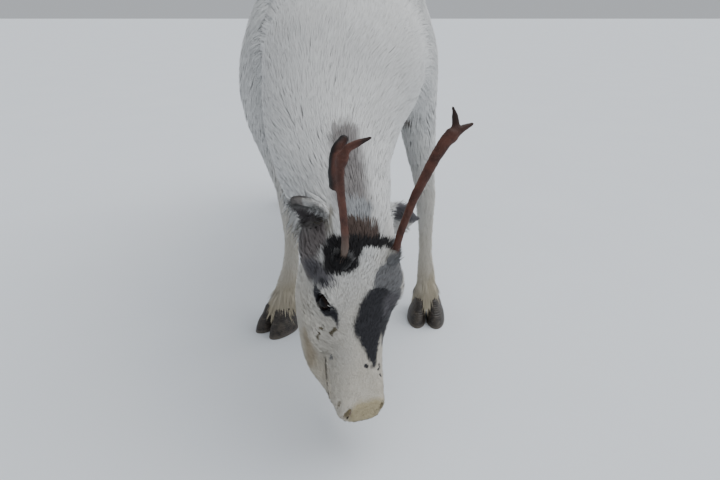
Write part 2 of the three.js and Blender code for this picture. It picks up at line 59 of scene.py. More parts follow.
# The plan of the animal
# A grazing reindeer in its winter coat. Its sizes are millimetres in one plan, as an animal sculptor would
# note them, and the plan is set on the frame by the middle of the left eye.
MM = 0.001
HEAD_AT = np.array([9.5, 741, 401])


def unit(v):
    v = np.asarray(v, float)
    return v / np.linalg.norm(v, axis=-1, keepdims=True)


def square_to(v, axis):
    return unit(v - np.dot(v, axis) * axis)


# The head's own axes: its left, up the face to the poll, and out of the face
HEAD_LEFT = unit([0.884, 0.443, -0.152])
HEAD_UP = square_to(np.array([-0.041, 0.351, 0.936]), HEAD_LEFT)
HEAD_AXES = np.array([HEAD_LEFT, HEAD_UP, np.cross(HEAD_LEFT, HEAD_UP)])
EYE_AT = {1: np.array([51, -141, -28]), -1: np.array([-51, -141, -28])}


def into_head(points):
    return (points - HEAD_AT) @ HEAD_AXES.T


def out_of_head(points):
    return np.asarray(points, float) @ HEAD_AXES + HEAD_AT


eye_low, eye_high = (np.array(corner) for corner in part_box("eye_left"))
ORIGIN = (eye_low + eye_high) / 2 - out_of_head(EYE_AT[1]) * MM

# The forms of the flesh
# Trunk, neck, legs, skull, jaw, ears and tail are rings of flesh on smooth lines. Each gives the distance to
# its own outside, so that they can swell into one another as muscle does under a hide.
def smooth_line(rows, share):
    """Points at shares of the way along a smooth line through the rows."""
    rows = np.asarray(rows, float)
    last = len(rows) - 1
    held = np.vstack([2 * rows[0] - rows[1], rows, 2 * rows[-1] - rows[-2]])
    place = np.clip(share, 0, 1) * last
    k = np.minimum(place.astype(int), last - 1)
    t = (place - k)[:, None]
    a, b, c, d = held[k], held[k + 1], held[k + 2], held[k + 3]
    return 0.5 * (2 * b + (c - a) * t + (2 * a - 5 * b + 4 * c - d) * t**2 + (3 * b - a - 3 * c + d) * t**3)


# A form is only measured within REACH of its own box, and elsewhere it counts as FAR away
FAR = 100.0
REACH = 70.0
MOST_POINTS = 60000  # measured against a line at one time


class Form:
    """Rings on a smooth line. A station is x, y, z, half width, reach ahead and reach behind."""

    def __init__(self, stations, front, axis=None, caps=(20, 20), square=0.0, pinch=0.0, samples=48):
        rows = smooth_line(stations, np.linspace(0, 1, samples))
        self.centres = rows[:, :3]
        self.girths = rows[:, 3:]
        self.axis = axis
        self.caps = caps
        self.square = square
        self.pinch = pinch
        if axis is None:
            self.along = unit(np.gradient(rows[:, :3], axis=0))
        else:
            self.along = np.tile(axis, (samples, 1))
        self.across = unit(np.cross(front, self.along))
        self.ahead = np.cross(self.along, self.across)
        margin = self.girths.max() + REACH
        self.low = self.centres.min(axis=0) - margin
        self.high = self.centres.max(axis=0) + margin

    def nearest(self, points):
        """The place on the line, counted in samples, that lies nearest to each point."""
        last = len(self.centres) - 1
        if self.axis is not None:
            steps = (self.centres - self.centres[0]) @ self.axis
            return np.interp((points - self.centres[0]) @ self.axis, steps, np.arange(last + 1))
        place = np.empty(len(points))
        for start in range(0, len(points), MOST_POINTS):
            some = points[start:start + MOST_POINTS]
            gaps = (self.centres**2).sum(1)[None] - 2 * some @ self.centres.T
            k = np.argmin(gaps, axis=1)
            after, before = np.minimum(k + 1, last), np.maximum(k - 1, 0)
            step = np.linalg.norm(self.centres[after] - self.centres[before], axis=1)
            slide = ((some - self.centres[k]) * self.along[k]).sum(1) / (step / (after - before))
            place[start:start + MOST_POINTS] = np.clip(k + slide, 0, last)
        return place

    def rings(self, place):
        """Centre, girths and the ways along, across and ahead at places on the line."""
        k = np.minimum(place.astype(int), len(self.centres) - 2)
        t = (place - k)[:, None]
        return [rows[k] * (1 - t) + rows[k + 1] * t for rows in
                (self.centres, self.girths, self.along, self.across, self.ahead)]

    def way(self, points):
        return self.rings(self.nearest(points))[2]

    def gap(self, points):
        """Distance from the points to the form's outside, negative within it."""
        found = np.full(len(points), FAR)
        near = np.all((points > self.low) & (points < self.high), axis=1)
        if not near.any():
            return found
        some = points[near]
        centre, girth, along, across, ahead = self.rings(self.nearest(some))
        offset = some - centre
        a = (offset * across).sum(1) / girth[:, 0]
        b = (offset * ahead).sum(1)
        b = b / np.where(b > 0, girth[:, 1], girth[:, 2])
        e = (offset * along).sum(1)
        e = e / np.where(e > 0, self.caps[1], self.caps[0])
        turn = np.arctan2(b, a)
        swell = 1 + self.square * np.sin(2 * turn)**2
        a = a / (swell * (1 - self.pinch * np.maximum(0, -np.sin(turn))))
        reach = np.sqrt(a**2 + (b / swell)**2 + e**2) + 1e-9
        found[near] = np.linalg.norm(offset, axis=1) * (1 - 1 / reach)
        return found


class Ball:
    """An ellipsoid of three half sizes, turned about X, Y and Z."""

    def __init__(self, centre, halves, turn=(0, 0, 0)):
        self.centre = np.asarray(centre, float)
        self.halves = np.asarray(halves, float)
        (cx, cy, cz), (sx, sy, sz) = np.cos(turn), np.sin(turn)
        about_x = np.array([[1, 0, 0], [0, cx, -sx], [0, sx, cx]])
        about_y = np.array([[cy, 0, sy], [0, 1, 0], [-sy, 0, cy]])
        about_z = np.array([[cz, -sz, 0], [sz, cz, 0], [0, 0, 1]])
        self.turn = about_z @ about_y @ about_x

    def gap(self, points):
        offset = points - self.centre
        reach = np.linalg.norm(offset @ self.turn / self.halves, axis=1) + 1e-9
        return np.linalg.norm(offset, axis=1) * (1 - 1 / reach)


def swell_into(a, b, soft):
    """Joins two forms with a soft fillet."""
    h = np.maximum(soft - np.abs(a - b), 0) / soft
    return np.minimum(a, b) - h * h * soft / 4


def carve_from(a, b, soft):
    """Takes form b out of form a with a soft rim."""
    return -swell_into(-a, b, soft)


TRUNK_YAW = np.radians(7)
TRUNK_AXIS = np.array([-np.sin(TRUNK_YAW), np.cos(TRUNK_YAW), 0])
TRUNK_LEFT = np.array([np.cos(TRUNK_YAW), np.sin(TRUNK_YAW), 0])
CHEST = np.array([-12, 1035, 0])


def trunk_point(distance, left, height):
    return CHEST + TRUNK_AXIS * distance + TRUNK_LEFT * left + np.array([0, 0, height])


# Trunk: distance down its axis, height of the centre, half width, reach up and down
TRUNK = [
    (0, 552, 92, 96, 96), (60, 562, 134, 160, 138), (115, 576, 152, 226, 164),
    (175, 588, 160, 258, 178), (250, 592, 170, 254, 190), (360, 590, 190, 244, 204),
    (490, 584, 203, 238, 214), (640, 590, 204, 240, 204), (780, 614, 184, 232, 172),
    (880, 636, 150, 194, 148), (940, 652, 100, 128, 112),
]
trunk = Form([(*trunk_point(d, 0, z), *girth) for d, z, *girth in TRUNK], front=(0, 0, 1), axis=TRUNK_AXIS,
             caps=(36, 45), pinch=0.08)

# Neck, from the skull back into the chest: the reach ahead is to the crest, the one behind to the throat
NECK = [
    (2, 762, 352, 48, 42, 74), (-22, 806, 380, 78, 66, 108), (-44, 868, 430, 100, 78, 124),
    (-46, 950, 492, 126, 96, 144), (-30, 1045, 560, 152, 120, 166), (-26, 1150, 606, 146, 126, 160),
]
NECK_CREST = unit([0.12, -0.55, 0.83])
neck = Form(NECK, front=NECK_CREST, caps=(20, 40), pinch=0.16)

FORELEG_LEFT = [
    (62, 1216, 716, 44, 80, 84), (84, 1204, 656, 53, 100, 102), (106, 1186, 572, 56, 104, 100),
    (114, 1174, 508, 51, 88, 88), (120, 1166, 456, 44, 64, 72), (130, 1150, 385, 34, 42, 50),
    (140, 1130, 312, 24, 30, 30), (143, 1126, 284, 24, 29, 27), (147, 1121, 205, 17, 20, 21),
    (149, 1117, 145, 17, 20, 21), (151, 1110, 106, 21, 25, 29), (152, 1096, 72, 24, 27, 28),
    (153, 1088, 36, 31, 36, 30),
]
FORELEG_RIGHT = [
    (-124, 1216, 716, 44, 80, 84), (-148, 1204, 656, 54, 100, 102), (-172, 1186, 572, 64, 104, 100),
    (-186, 1174, 508, 63, 88, 88), (-186, 1162, 448, 56, 66, 74), (-170, 1138, 372, 40, 46, 50),
    (-156, 1110, 306, 26, 30, 30), (-153, 1104, 280, 25, 29, 27), (-150, 1092, 205, 17, 20, 21),
    (-153, 1082, 145, 18, 20, 21), (-160, 1072, 106, 22, 25, 29), (-169, 1056, 72, 25, 27, 28),
    (-176, 1048, 36, 31, 36, 30),
]
# Hind legs: distance down the trunk, step to the side, height, half width, reach ahead and behind
HIND_LEG = [
    (806, 56, 730, 58, 140, 112), (806, 80, 650, 76, 172, 124), (800, 98, 570, 80, 176, 124),
    (802, 106, 500, 66, 138, 106), (828, 109, 432, 46, 86, 76), (870, 109, 374, 32, 50, 50),
    (906, 108, 326, 26, 36, 38), (912, 108, 296, 25, 32, 30), (904, 107, 244, 19, 24, 25),
    (894, 107, 195, 17, 21, 22), (884, 108, 145, 17, 21, 22), (876, 109, 108, 21, 25, 29),
    (861, 110, 74, 24, 27, 28), (851, 111, 36, 31, 36, 30),
]


def hind_leg(side):
    return [(*trunk_point(d, side * step, z), *girth) for d, step, z, *girth in HIND_LEG]


# Each foot turns by some degrees to the animal's right or left, and its leg by half of that
FEET = {
    "fore_left": (FORELEG_LEFT, -4), "fore_right": (FORELEG_RIGHT, -36),
    "hind_left": (hind_leg(1), 6), "hind_right": (hind_leg(-1), -20),
}


def turned(v, degrees):
    c, s = np.cos(np.radians(degrees)), np.sin(np.radians(degrees))
    return np.array([c * v[0] - s * v[1], s * v[0] + c * v[1], v[2]])


legs = {name: Form(stations, front=turned((0, -1, 0), turn / 2), caps=(20, 14))
        for name, (stations, turn) in FEET.items()}

TAIL_ROOT = trunk_point(947, 0, 0)
tail = Form([(*(TAIL_ROOT + TRUNK_AXIS * back + np.array([0, 0, z])), *girth) for back, z, *girth in (
    (-14, 742, 24, 15, 15), (22, 734, 28, 16, 16), (42, 700, 30, 16, 16), (46, 652, 22, 12, 12))],
    front=TRUNK_AXIS, caps=(10, 14))

# Skull and upper muzzle: distance down the face, half width, level of the face, depth
SKULL = [
    (2, 54, -6, 100), (34, 63, 6, 122), (72, 66, 9, 136), (108, 67, 5, 142), (142, 64, 0, 136),
    (164, 56, -3, 120), (188, 47, -5, 102), (216, 42, -7, 88), (248, 40, -8, 77), (280, 41, -9, 67),
    (302, 40, -11, 60), (321, 34, -17, 48),
]
# Lower jaw: distance down the face, half width, level of the centre, half depth
JAW = [
    (96, 56, -118, 56), (132, 61, -124, 59), (170, 61, -125, 57), (200, 59, -123, 54),
    (232, 57, -117, 45), (260, 53, -105, 35), (286, 39, -90, 22), (306, 29, -76, 14),
]
DOWN_FACE = np.array([0, -1, 0])
OUT_OF_FACE = np.array([0, 0, 1])
skull = Form([(0, -down, level - depth / 2, half, depth / 2, depth / 2)
              for down, half, level, depth in SKULL],
             front=OUT_OF_FACE, axis=DOWN_FACE, caps=(30, 11), square=0.1, pinch=0.06)
jaw = Form([(0, -down, level, half, deep, deep) for down, half, level, deep in JAW],
           front=OUT_OF_FACE, axis=DOWN_FACE, caps=(22, 10), square=0.05)

# Ears: a leaf-shaped shell with a deep cup
EARS = {
    "left": ((52, -30, -56), (124, -24, -54), (0.25, -0.35, 0.9)),
    "right": ((-54, -30, -58), (-108, 6, -8), (-0.74, -0.3, 0.5)),
}
EAR_SECTIONS = [(0, 15, 15), (0.18, 22, 17), (0.4, 27, 15), (0.62, 25, 12), (0.84, 16, 8), (1, 4, 3)]
EAR_WALL = 3.6
EAR_BOW = 9
CUP_LIFT = 9.5


def ear_form(which, slim, shift, first):
    root, tip, opens = (np.array(v, float) for v in EARS[which])
    reach = tip - root
    opens = square_to(opens, unit(reach))
    stations = []
    for s, half, deep in EAR_SECTIONS[first:]:
        centre = root + reach * s * (1 - slim / 90) + opens * (shift - EAR_BOW * np.sin(np.pi * s))
        half, deep = max(1.6, half - slim), max(1.6, deep - slim)
        stations.append((*centre, half, deep, deep))
    return Form(stations, front=opens, caps=(10, 5))


ears = {which: (ear_form(which, 0, 0, 0), ear_form(which, EAR_WALL, CUP_LIFT, 1)) for which in EARS}

# Eyes lie under a brow and over a full cheek. The lids part in a slanting almond.
EYE_RADIUS = 15
LID_RADIUS = 19
ALMOND_HALF_LENGTH = 14.5
ALMOND_HALF_OPEN = 10.5
EYE_SLANT = 0.95
brows = [Ball((side * 52, -120, -20), (20, 36, 24), (0, 0, side * 0.1)) for side in (-1, 1)]
cheeks = [Ball((side * 40, -156, -76), (26, 66, 54), (0.1, 0, 0)) for side in (-1, 1)]
ear_ruff = Ball((-60, -62, -58), (24, 42, 30))
SOCKET_FILLET = 9
# The upper lid folds a little way off the almond, over the eyeball
FOLD_OFF, FOLD_WIDTH, FOLD_DEPTH = 7.5, 1.7, 1.3


def eye_axes(side):
    """The eye's own axes: along the gap between the lids, across it, and straight out."""
    out = unit([side * 0.93, -0.06, 0.36])
    flat = unit(np.cross((0, 1, 0), out))
    up = np.cross(out, flat)
    c, s = np.cos(side * EYE_SLANT), np.sin(side * EYE_SLANT)
    return np.array([c * flat + s * up, c * up - s * flat, out])


def lids(head, points, side):
    """Sets an eyeball's socket and its two lids into the head."""
    x, y, out = ((points - EYE_AT[side]) @ eye_axes(side).T).T
    far = np.sqrt(x**2 + y**2 + out**2)
    half_open = ALMOND_HALF_OPEN * np.maximum(1 - (x / ALMOND_HALF_LENGTH)**2, -3)
    almond = np.maximum((np.abs(y - 0.06 * x) - half_open) * 0.72, -out)
    head = swell_into(head, far - LID_RADIUS, SOCKET_FILLET)
    fold = np.exp(-((almond - FOLD_OFF) / FOLD_WIDTH)**2) * np.exp(-((far - LID_RADIUS) / 6)**2)
    head = head + FOLD_DEPTH * fold
    head = carve_from(head, far - EYE_RADIUS - 0.2, 0.6)
    return carve_from(head, almond, 2.2)


# Nostrils: a raised wing with a comma-shaped pit. The mouth is a groove round the muzzle between full lips.
nostril_wings, nostril_pits, nostril_commas = [], [], []
for side in (-1, 1):
    nostril_wings.append(Ball((side * 25, -304, -25), (12, 17, 11), (0.3, 0, side * 0.3)))
    nostril_pits.append(Ball((side * 28, -312, -22), (3.2, 10, 8), (0.5, side * 0.2, side * 0.35)))
    nostril_commas.append(Ball((side * 35, -299, -31), (5, 7, 2.2), (0.7, 0, side * 0.3)))
MOUTH = [(32, 242, -77), (34, 260, -73), (35.5, 278, -69), (34, 294, -65), (29, 306, -61), (17, 315, -59)]
mouth_side = [(half, -down, level) for half, down, level in MOUTH]
mouth_round = mouth_side + [(0, -320, -58)] + [(-x, y, z) for x, y, z in reversed(mouth_side)]


def mouth_form(radius, lift):
    return Form([(x, y, z + lift, radius, radius, radius) for x, y, z in mouth_round],
                front=OUT_OF_FACE, caps=(radius, radius))


upper_lip, lower_lip, mouth_groove = mouth_form(6, 4), mouth_form(5, -6), mouth_form(1.6, -1)

# How softly each form runs into the flesh that carries it
JAW_FILLET = 20
HEAD_SWELLINGS = [(form, 22) for form in brows + cheeks]
HEAD_SWELLINGS += [(form, 8) for form in nostril_wings]
HEAD_SWELLINGS += [(ear_ruff, 18), (upper_lip, 5), (lower_lip, 5)]
EAR_FILLET, CUP_RIM = 10, 2
HEAD_PITS = [(form, 2.5) for form in nostril_pits + nostril_commas] + [(mouth_groove, 1.5)]
LIDS_WITHIN = 45
NECK_FILLET, LEG_FILLET, TAIL_FILLET, NAPE_FILLET = 30, 24, 12, 16


def head_gap(points):
    head = swell_into(skull.gap(points), jaw.gap(points), JAW_FILLET)
    for form, soft in HEAD_SWELLINGS:
        head = swell_into(head, form.gap(points), soft)
    for shell, cup in ears.values():
        head = swell_into(head, carve_from(shell.gap(points), cup.gap(points), CUP_RIM), EAR_FILLET)
    for form, soft in HEAD_PITS:
        head = carve_from(head, form.gap(points), soft)
    for side in (-1, 1):
        near = np.linalg.norm(points - EYE_AT[side], axis=1) < LIDS_WITHIN
        head[near] = lids(head[near], points[near], side)
    return head


def body_gap(points):
    body = swell_into(trunk.gap(points), neck.gap(points), NECK_FILLET)
    for leg in legs.values():
        body = swell_into(body, leg.gap(points), LEG_FILLET)
    return swell_into(body, tail.gap(points), TAIL_FILLET)


def near_eye(inner):
    """Distance to the middle of the nearer eye."""
    return np.min([np.linalg.norm(inner - EYE_AT[side], axis=1) for side in (-1, 1)], axis=0)


def near_ear(inner):
    return np.min([shell.gap(inner) for shell, _ in ears.values()], axis=0)


def flesh_gap(points):
    """Distance to the outside of the coat over the whole animal."""
    inner = into_head(points)
    gap = body_gap(points)
    near = np.all(np.abs(inner - (0, -150, -60)) < (190, 260, 190), axis=1)
    gap[near] = swell_into(gap[near], head_gap(inner[near]), NAPE_FILLET)
    return gap


def coat_depth(points):
    """How far the hide lies below the outside of the coat: deep on the trunk, thin on the face and feet."""
    inner = into_head(points)
    height = points[:, 2]
    leg = np.interp(height, (0, 160, 330, 470, 640), (3, 4, 5.5, 8, 10))
    down = -inner[:, 1]
    face = np.interp(down, (-40, 20, 90, 150, 220, 300), (9, 7, 4, 3, 2.5, 1.6))
    face = face * np.clip((near_eye(inner) - EYE_RADIUS) / 14, 0.25, 1)
    on_head = np.clip((16 - skull.gap(inner)) / 14, 0, 1)
    on_head = np.maximum(on_head, np.clip((16 - jaw.gap(inner)) / 14, 0, 1))
    off_ear = near_ear(inner)
    face = np.where(off_ear < 6, np.interp(off_ear, (-2, 6), (1.2, 6)), face)
    return on_head * face + (1 - on_head) * np.where(off_ear < 6, np.minimum(face, leg), leg)


def hide_gap(points):
    return flesh_gap(points) + coat_depth(points)


# The skin
# One unbroken hide over trunk, neck, head, ears, legs and tail, drawn over the forms of the flesh. It is fine
# on the head, coarser on the body, and the two lengths are stitched at a ring behind the ears.
BODY_WEAVE = 9.4
HEAD_WEAVE = 2.2


def drape(gap, low, high, step):
    """A closed net of quads over the place where the gap is nought."""
    coarse = 4
    counts = [int(np.ceil((h - l) / (step * coarse))) * coarse for l, h in zip(low, high)]
    low = np.asarray(low, float)

    def lattice(numbers, pitch, shift):
        grid = np.stack(np.meshgrid(*[np.arange(n) for n in numbers], indexing="ij"), axis=-1)
        return grid.reshape(-1, 3) * pitch + low + shift

    blocks = [n // coarse for n in counts]
    block_gap = gap(lattice(blocks, step * coarse, step * (coarse - 1) / 2)).reshape(blocks)
    values = block_gap.repeat(coarse, 0).repeat(coarse, 1).repeat(coarse, 2).astype(np.float32)
    near = np.abs(values) < step * coarse * 1.35
    index = np.argwhere(near)
    values[near] = gap(index * step + low)
    inside = values < 0
    total = np.zeros([n - 1 for n in counts] + [3], np.float32)
    hits = np.zeros([n - 1 for n in counts], np.float32)
    crossings = []
    for axis in range(3):
        first = [slice(None)] * 3
        second = [slice(None)] * 3
        first[axis], second[axis] = slice(0, -1), slice(1, None)
        a, b = values[tuple(first)], values[tuple(second)]
        cross = inside[tuple(first)] != inside[tuple(second)]
        at = np.argwhere(cross)
        t = a[cross] / (a[cross] - b[cross])
        spot = at.astype(np.float32)
        spot[:, axis] += t
        others = [k for k in range(3) if k != axis]
        for i in (0, 1):
            for j in (0, 1):
                cell = at.copy()
                cell[:, others[0]] -= i
                cell[:, others[1]] -= j
                fits = np.all((cell >= 0) & (cell < hits.shape), axis=1)
                place = tuple(cell[fits].T)
                np.add.at(total, place, spot[fits])
                np.add.at(hits, place, 1)
        crossings.append((axis, others, at, inside[tuple(first)][cross]))
    number = np.full(hits.shape, -1, np.int32)
    used = hits > 0
    number[used] = np.arange(used.sum())
    points = total[used] / hits[used][:, None] * step + low
    quads = []
    for axis, (i, j), at, starts_inside in crossings:
        fits = (at[:, i] > 0) & (at[:, j] > 0) & (at[:, i] < hits.shape[i]) & (at[:, j] < hits.shape[j])
        at, starts_inside = at[fits], starts_inside[fits]
        ring = []
        for di, dj in ((1, 1), (0, 1), (0, 0), (1, 0)):
            cell = at.copy()
            cell[:, i] -= di
            cell[:, j] -= dj
            ring.append(number[tuple(cell.T)])
        ring = np.stack(ring, axis=1)
        turn = starts_inside == (axis != 1)
        quads.append(np.where(turn[:, None], ring, ring[:, ::-1]))
    return points.astype(float), np.concatenate(quads)


def settle(points, gap, rounds=2, reach=0.4, stride=3):
    """Moves points straight onto the surface where the gap is nought, by a stride a round at most."""
    for _ in range(rounds):
        value = gap(points)
        slope = np.empty_like(points)
        for axis in range(3):
            step = np.zeros(3)
            step[axis] = reach
            slope[:, axis] = (gap(points + step) - gap(points - step)) / (2 * reach)
        steep = np.maximum((slope**2).sum(1), 0.3)
        points = points - slope * np.clip(value / steep, -stride, stride)[:, None]
    return points


STITCH_NORMAL = unit([0.12, 0.95, 0.28])
STITCH_AT = np.array([-30, 858, 424])
STITCH_GAP = 2.0  # from the ring to each open edge


def cut_hide(low, high, weave, keep_back, gap):
    """Drapes part of the hide, trims it at the stitching ring and puts the open edge's corners in order."""
    net, faces = drape(hide_gap, low, high, weave)
    piece = bmesh.new()
    corners = [piece.verts.new(p) for p in settle(net, hide_gap)]
    for quad in faces:
        piece.faces.new([corners[k] for k in quad])
    at = Vector(STITCH_AT + STITCH_NORMAL * gap)
    bmesh.ops.bisect_plane(piece, geom=piece.verts[:] + piece.edges[:] + piece.faces[:], plane_co=at,
                           plane_no=Vector(STITCH_NORMAL), clear_inner=keep_back, clear_outer=not keep_back)
    piece.verts.index_update()
    points = np.array([v.co for v in piece.verts])
    open_edge = [v.index for v in piece.verts if any(len(e.link_faces) == 1 for e in v.link_edges)]
    across = unit(np.cross(STITCH_NORMAL, (0, 0, 1)))
    up = np.cross(across, STITCH_NORMAL)
    middle = points[open_edge].mean(axis=0)
    angle = np.arctan2((points[open_edge] - middle) @ up, (points[open_edge] - middle) @ across)
    order = np.argsort(angle)
    rings = [[v.index for v in f.verts] for f in piece.faces]
    quads = [ring for ring in rings if len(ring) == 4]
    triangles = [ring for ring in rings if len(ring) == 3]
    for ring in rings:
        if len(ring) > 4:
            triangles += [[ring[0], ring[k], ring[k + 1]] for k in range(1, len(ring) - 1)]
    piece.free()
    return points, quads, triangles, np.array(open_edge)[order], angle[order]


back_part = cut_hide((-340, 740, -6), (250, 2080, 900), BODY_WEAVE, True, STITCH_GAP)
front_part = cut_hide((-150, 560, 20), (210, 920, 560), HEAD_WEAVE, False, -STITCH_GAP)


def stitch(first, second):
    """Zips two open edges with triangles, stepping round on whichever side lags."""
    shift = len(first[0])
    edge_a, angle_a, edge_b, angle_b = first[3], first[4], second[3] + shift, second[4]
    i = j = 0
    seam = []
    while i < len(edge_a) or j < len(edge_b):
        a, b = edge_a[i % len(edge_a)], edge_b[j % len(edge_b)]
        next_a = angle_a[i] if i < len(edge_a) else np.inf
        next_b = angle_b[j] if j < len(edge_b) else np.inf
        if next_a <= next_b:
            seam.append((a, edge_a[(i + 1) % len(edge_a)], b))
            i += 1
        else:
            seam.append((a, edge_b[(j + 1) % len(edge_b)], b))
            j += 1
    points = np.vstack([first[0], second[0]])
    quads = first[1] + [[k + shift for k in f] for f in second[1]]
    triangles = first[2] + [[k + shift for k in f] for f in second[2]] + seam
    return points, np.array(quads), np.array(triangles)


def put(name, data):
    """A new object in the scene."""
    piece = bpy.data.objects.new(name, data)
    bpy.context.collection.objects.link(piece)
    return piece


def make_piece(name, points, faces):
    """A mesh object from points of the plan and faces of three or four corners."""
    mesh = bpy.data.meshes.new(name)
    mesh.vertices.add(len(points))
    mesh.vertices.foreach_set("co", (points * MM + ORIGIN).astype(np.float32).ravel())
    corners = np.concatenate([np.asarray(f, np.int32).ravel() for f in faces])
    sizes = np.concatenate([np.full(len(f), f.shape[1], np.int32) for f in faces])
    mesh.loops.add(len(corners))
    mesh.loops.foreach_set("vertex_index", corners)
    mesh.polygons.add(len(sizes))
    mesh.polygons.foreach_set("loop_start", np.concatenate([[0], np.cumsum(sizes)[:-1]]).astype(np.int32))
    mesh.update(calc_edges=True)
    mesh.polygons.foreach_set("use_smooth", np.ones(len(sizes), bool))
    return put(name, mesh)


skin_points, skin_quads, skin_triangles = stitch(back_part, front_part)
skin = make_piece("skin", skin_points, [skin_quads, skin_triangles])

# The colours of the hide: white, with patches in the head's axes; a few patches are painted shade, in part or
# whole, and one is a painted highlight. Each patch runs between two places, given as left of the midline,
# down the face and out of the face, with a radius at each end and a soft edge.
WHITE = (0.75, 0.75, 0.735)
SHADED_WHITE = (0.66, 0.66, 0.65)
IVORY = (0.64, 0.60, 0.52)
CREAM = (0.47, 0.41, 0.30)
SOOT = (0.014, 0.013, 0.014)
SLATE = (0.036, 0.036, 0.041)
ASH = (0.19, 0.19, 0.195)
TAUPE = (0.17, 0.15, 0.145)
MAUVE = (0.22, 0.205, 0.20)
UMBER = (0.085, 0.06, 0.05)
SILVER = (0.42, 0.42, 0.41)
SAND = (0.42, 0.36, 0.27)
HAY = (0.50, 0.43, 0.28)
OLIVE = (0.13, 0.11, 0.07)
DRAB = (0.33, 0.31, 0.27)
DOVE = (0.22, 0.205, 0.195)
PEWTER = (0.12, 0.115, 0.125)
STEEL = (0.32, 0.33, 0.34)
BLUSH = (0.46, 0.34, 0.30)
EAR_LINING = (0.24, 0.22, 0.225)
NOSTRIL = (0.03, 0.018, 0.018)
MARKINGS = [
    # The mauve nape patch is partly the fur's own grey-brown and partly painted shade behind the antlers
    ("nape_and_painted_shade", (-4, -104, -64), (-14, -8, -18), 24, 26, 22, MAUVE),
    ("ear_surround", (-60, 40, -46), (-68, 90, -56), 30, 24, 14, TAUPE),
    ("ear_cream", (-48, 12, -26), (-50, 46, -18), 8, 6, 8, DRAB),
    ("ear_back", (-58, 26, -60), (-104, -4, -16), 24, 16, 10, DOVE),
    ("ear_lining", (-78, 14, -52), (-92, 2, -34), 13, 11, 6, EAR_LINING),
    ("ear_rim", (-68, 10, -14), (-94, -6, -4), 7, 6, 4, SILVER),
    # Painted shade: the dark olive slit where the right ear meets the head
    ("ear_slit_shade", (-58, 20, -34), (-60, 24, -36), 6, 5, 4, OLIVE),
    ("left_ear_back", (92, 10, -56), (122, 16, -58), 18, 15, 8, PEWTER),
    ("cheek_shade", (-65, 92, -46), (-60, 106, -14), 18, 16, 12, PEWTER),
    ("crown_silver", (-20, 2, -8), (-4, 6, -4), 15, 15, 8, STEEL),
    ("crown_umber", (-22, 32, 0), (6, 37, 5), 17, 15, 5, UMBER),
    # Painted highlight: the silver spot where light catches the swirl of hair on the brown crown
    ("crown_swirl_highlight", (8, 28, 3), (11, 32, 4), 3, 3, 3, SILVER),
    ("brow_band", (-24, 53, 7), (30, 56, 5), 11, 8, 4, SOOT),
    ("brow_band_left", (30, 56, 5), (54, 64, -6), 8, 11, 4, SOOT),
    ("forehead_black", (-49, 64, -6), (-28, 66, 4), 19, 17, 6, SOOT),
    ("forehead_black_low", (-52, 84, -8), (-31, 84, 3), 16, 15, 7, SOOT),
    ("temple_black", (58, 66, -6), (66, 108, -26), 17, 14, 6, SLATE),
    ("left_patch_ash", (36, 110, -2), (34, 134, -5), 26, 25, 7, ASH),
    ("left_patch_side", (58, 112, -40), (54, 160, -36), 22, 20, 12, ASH),
    ("left_patch_slate", (18, 154, -5), (5, 178, -9), 31, 28, 10, SLATE),
    ("left_patch_flank", (36, 166, -20), (34, 205, -26), 20, 11, 9, SLATE),
    ("left_patch_low", (6, 186, -10), (11, 241, -12), 24, 5, 6, SLATE),
    ("left_patch_shade", (44, 146, -10), (42, 158, -18), 16, 14, 14, PEWTER),
    ("right_lids", (-64, 126, -32), (-54, 152, -20), 15, 13, 6, SLATE),
    ("right_lid_tail", (-50, 160, -16), (-43, 178, -20), 6, 2, 4, SLATE),
    ("above_right_eye", (-66, 110, -14), (-56, 114, -2), 5, 4, 4, SLATE),
    ("left_lids", (57, 132, -36), (53, 158, -30), 18, 17, 6, SLATE),
    ("speck", (-57, 201, -64), (-56, 193, -56), 4, 3, 3, OLIVE),
    ("speck", (-57, 186, -48), (-55, 180, -42), 3, 3, 3, OLIVE),
    ("speck", (-48, 190, -30), (-45, 182, -24), 3.5, 3.5, 3, OLIVE),
    ("cheek_mark", (-39, 236, -58), (-37, 229, -47), 2.5, 2.5, 3, ASH),
    ("speck", (-2, 241, -10), (1, 243, -10), 2.2, 2.2, 2, SLATE),
    ("speck", (21, 244, -13), (22, 248, -13), 2, 2, 2, SLATE),
    ("speck", (25, 257, -15), (28, 261, -16), 2, 2.4, 2, SLATE),
    ("jaw_tan", (-60, 205, -106), (-52, 246, -100), 13, 11, 16, SAND),
    ("nose_hay", (-8, 314, -18), (14, 314, -18), 22, 22, 12, HAY),
    ("right_nostril", (-30, 303, -17), (-27, 320, -26), 1.6, 1.6, 1.6, NOSTRIL),
    ("right_nostril_edge", (-25, 304, -17), (-23, 319, -23), 2, 2, 2, BLUSH),
    ("left_nostril", (31, 303, -18), (28, 320, -26), 1.6, 1.6, 1.6, NOSTRIL),
    ("lip_line", (-24, 308, -62), (24, 308, -62), 3, 3, 4, OLIVE),
    ("elbow_crease", (256, -176, -298), (242, -170, -254), 7, 6, 8, UMBER),
]


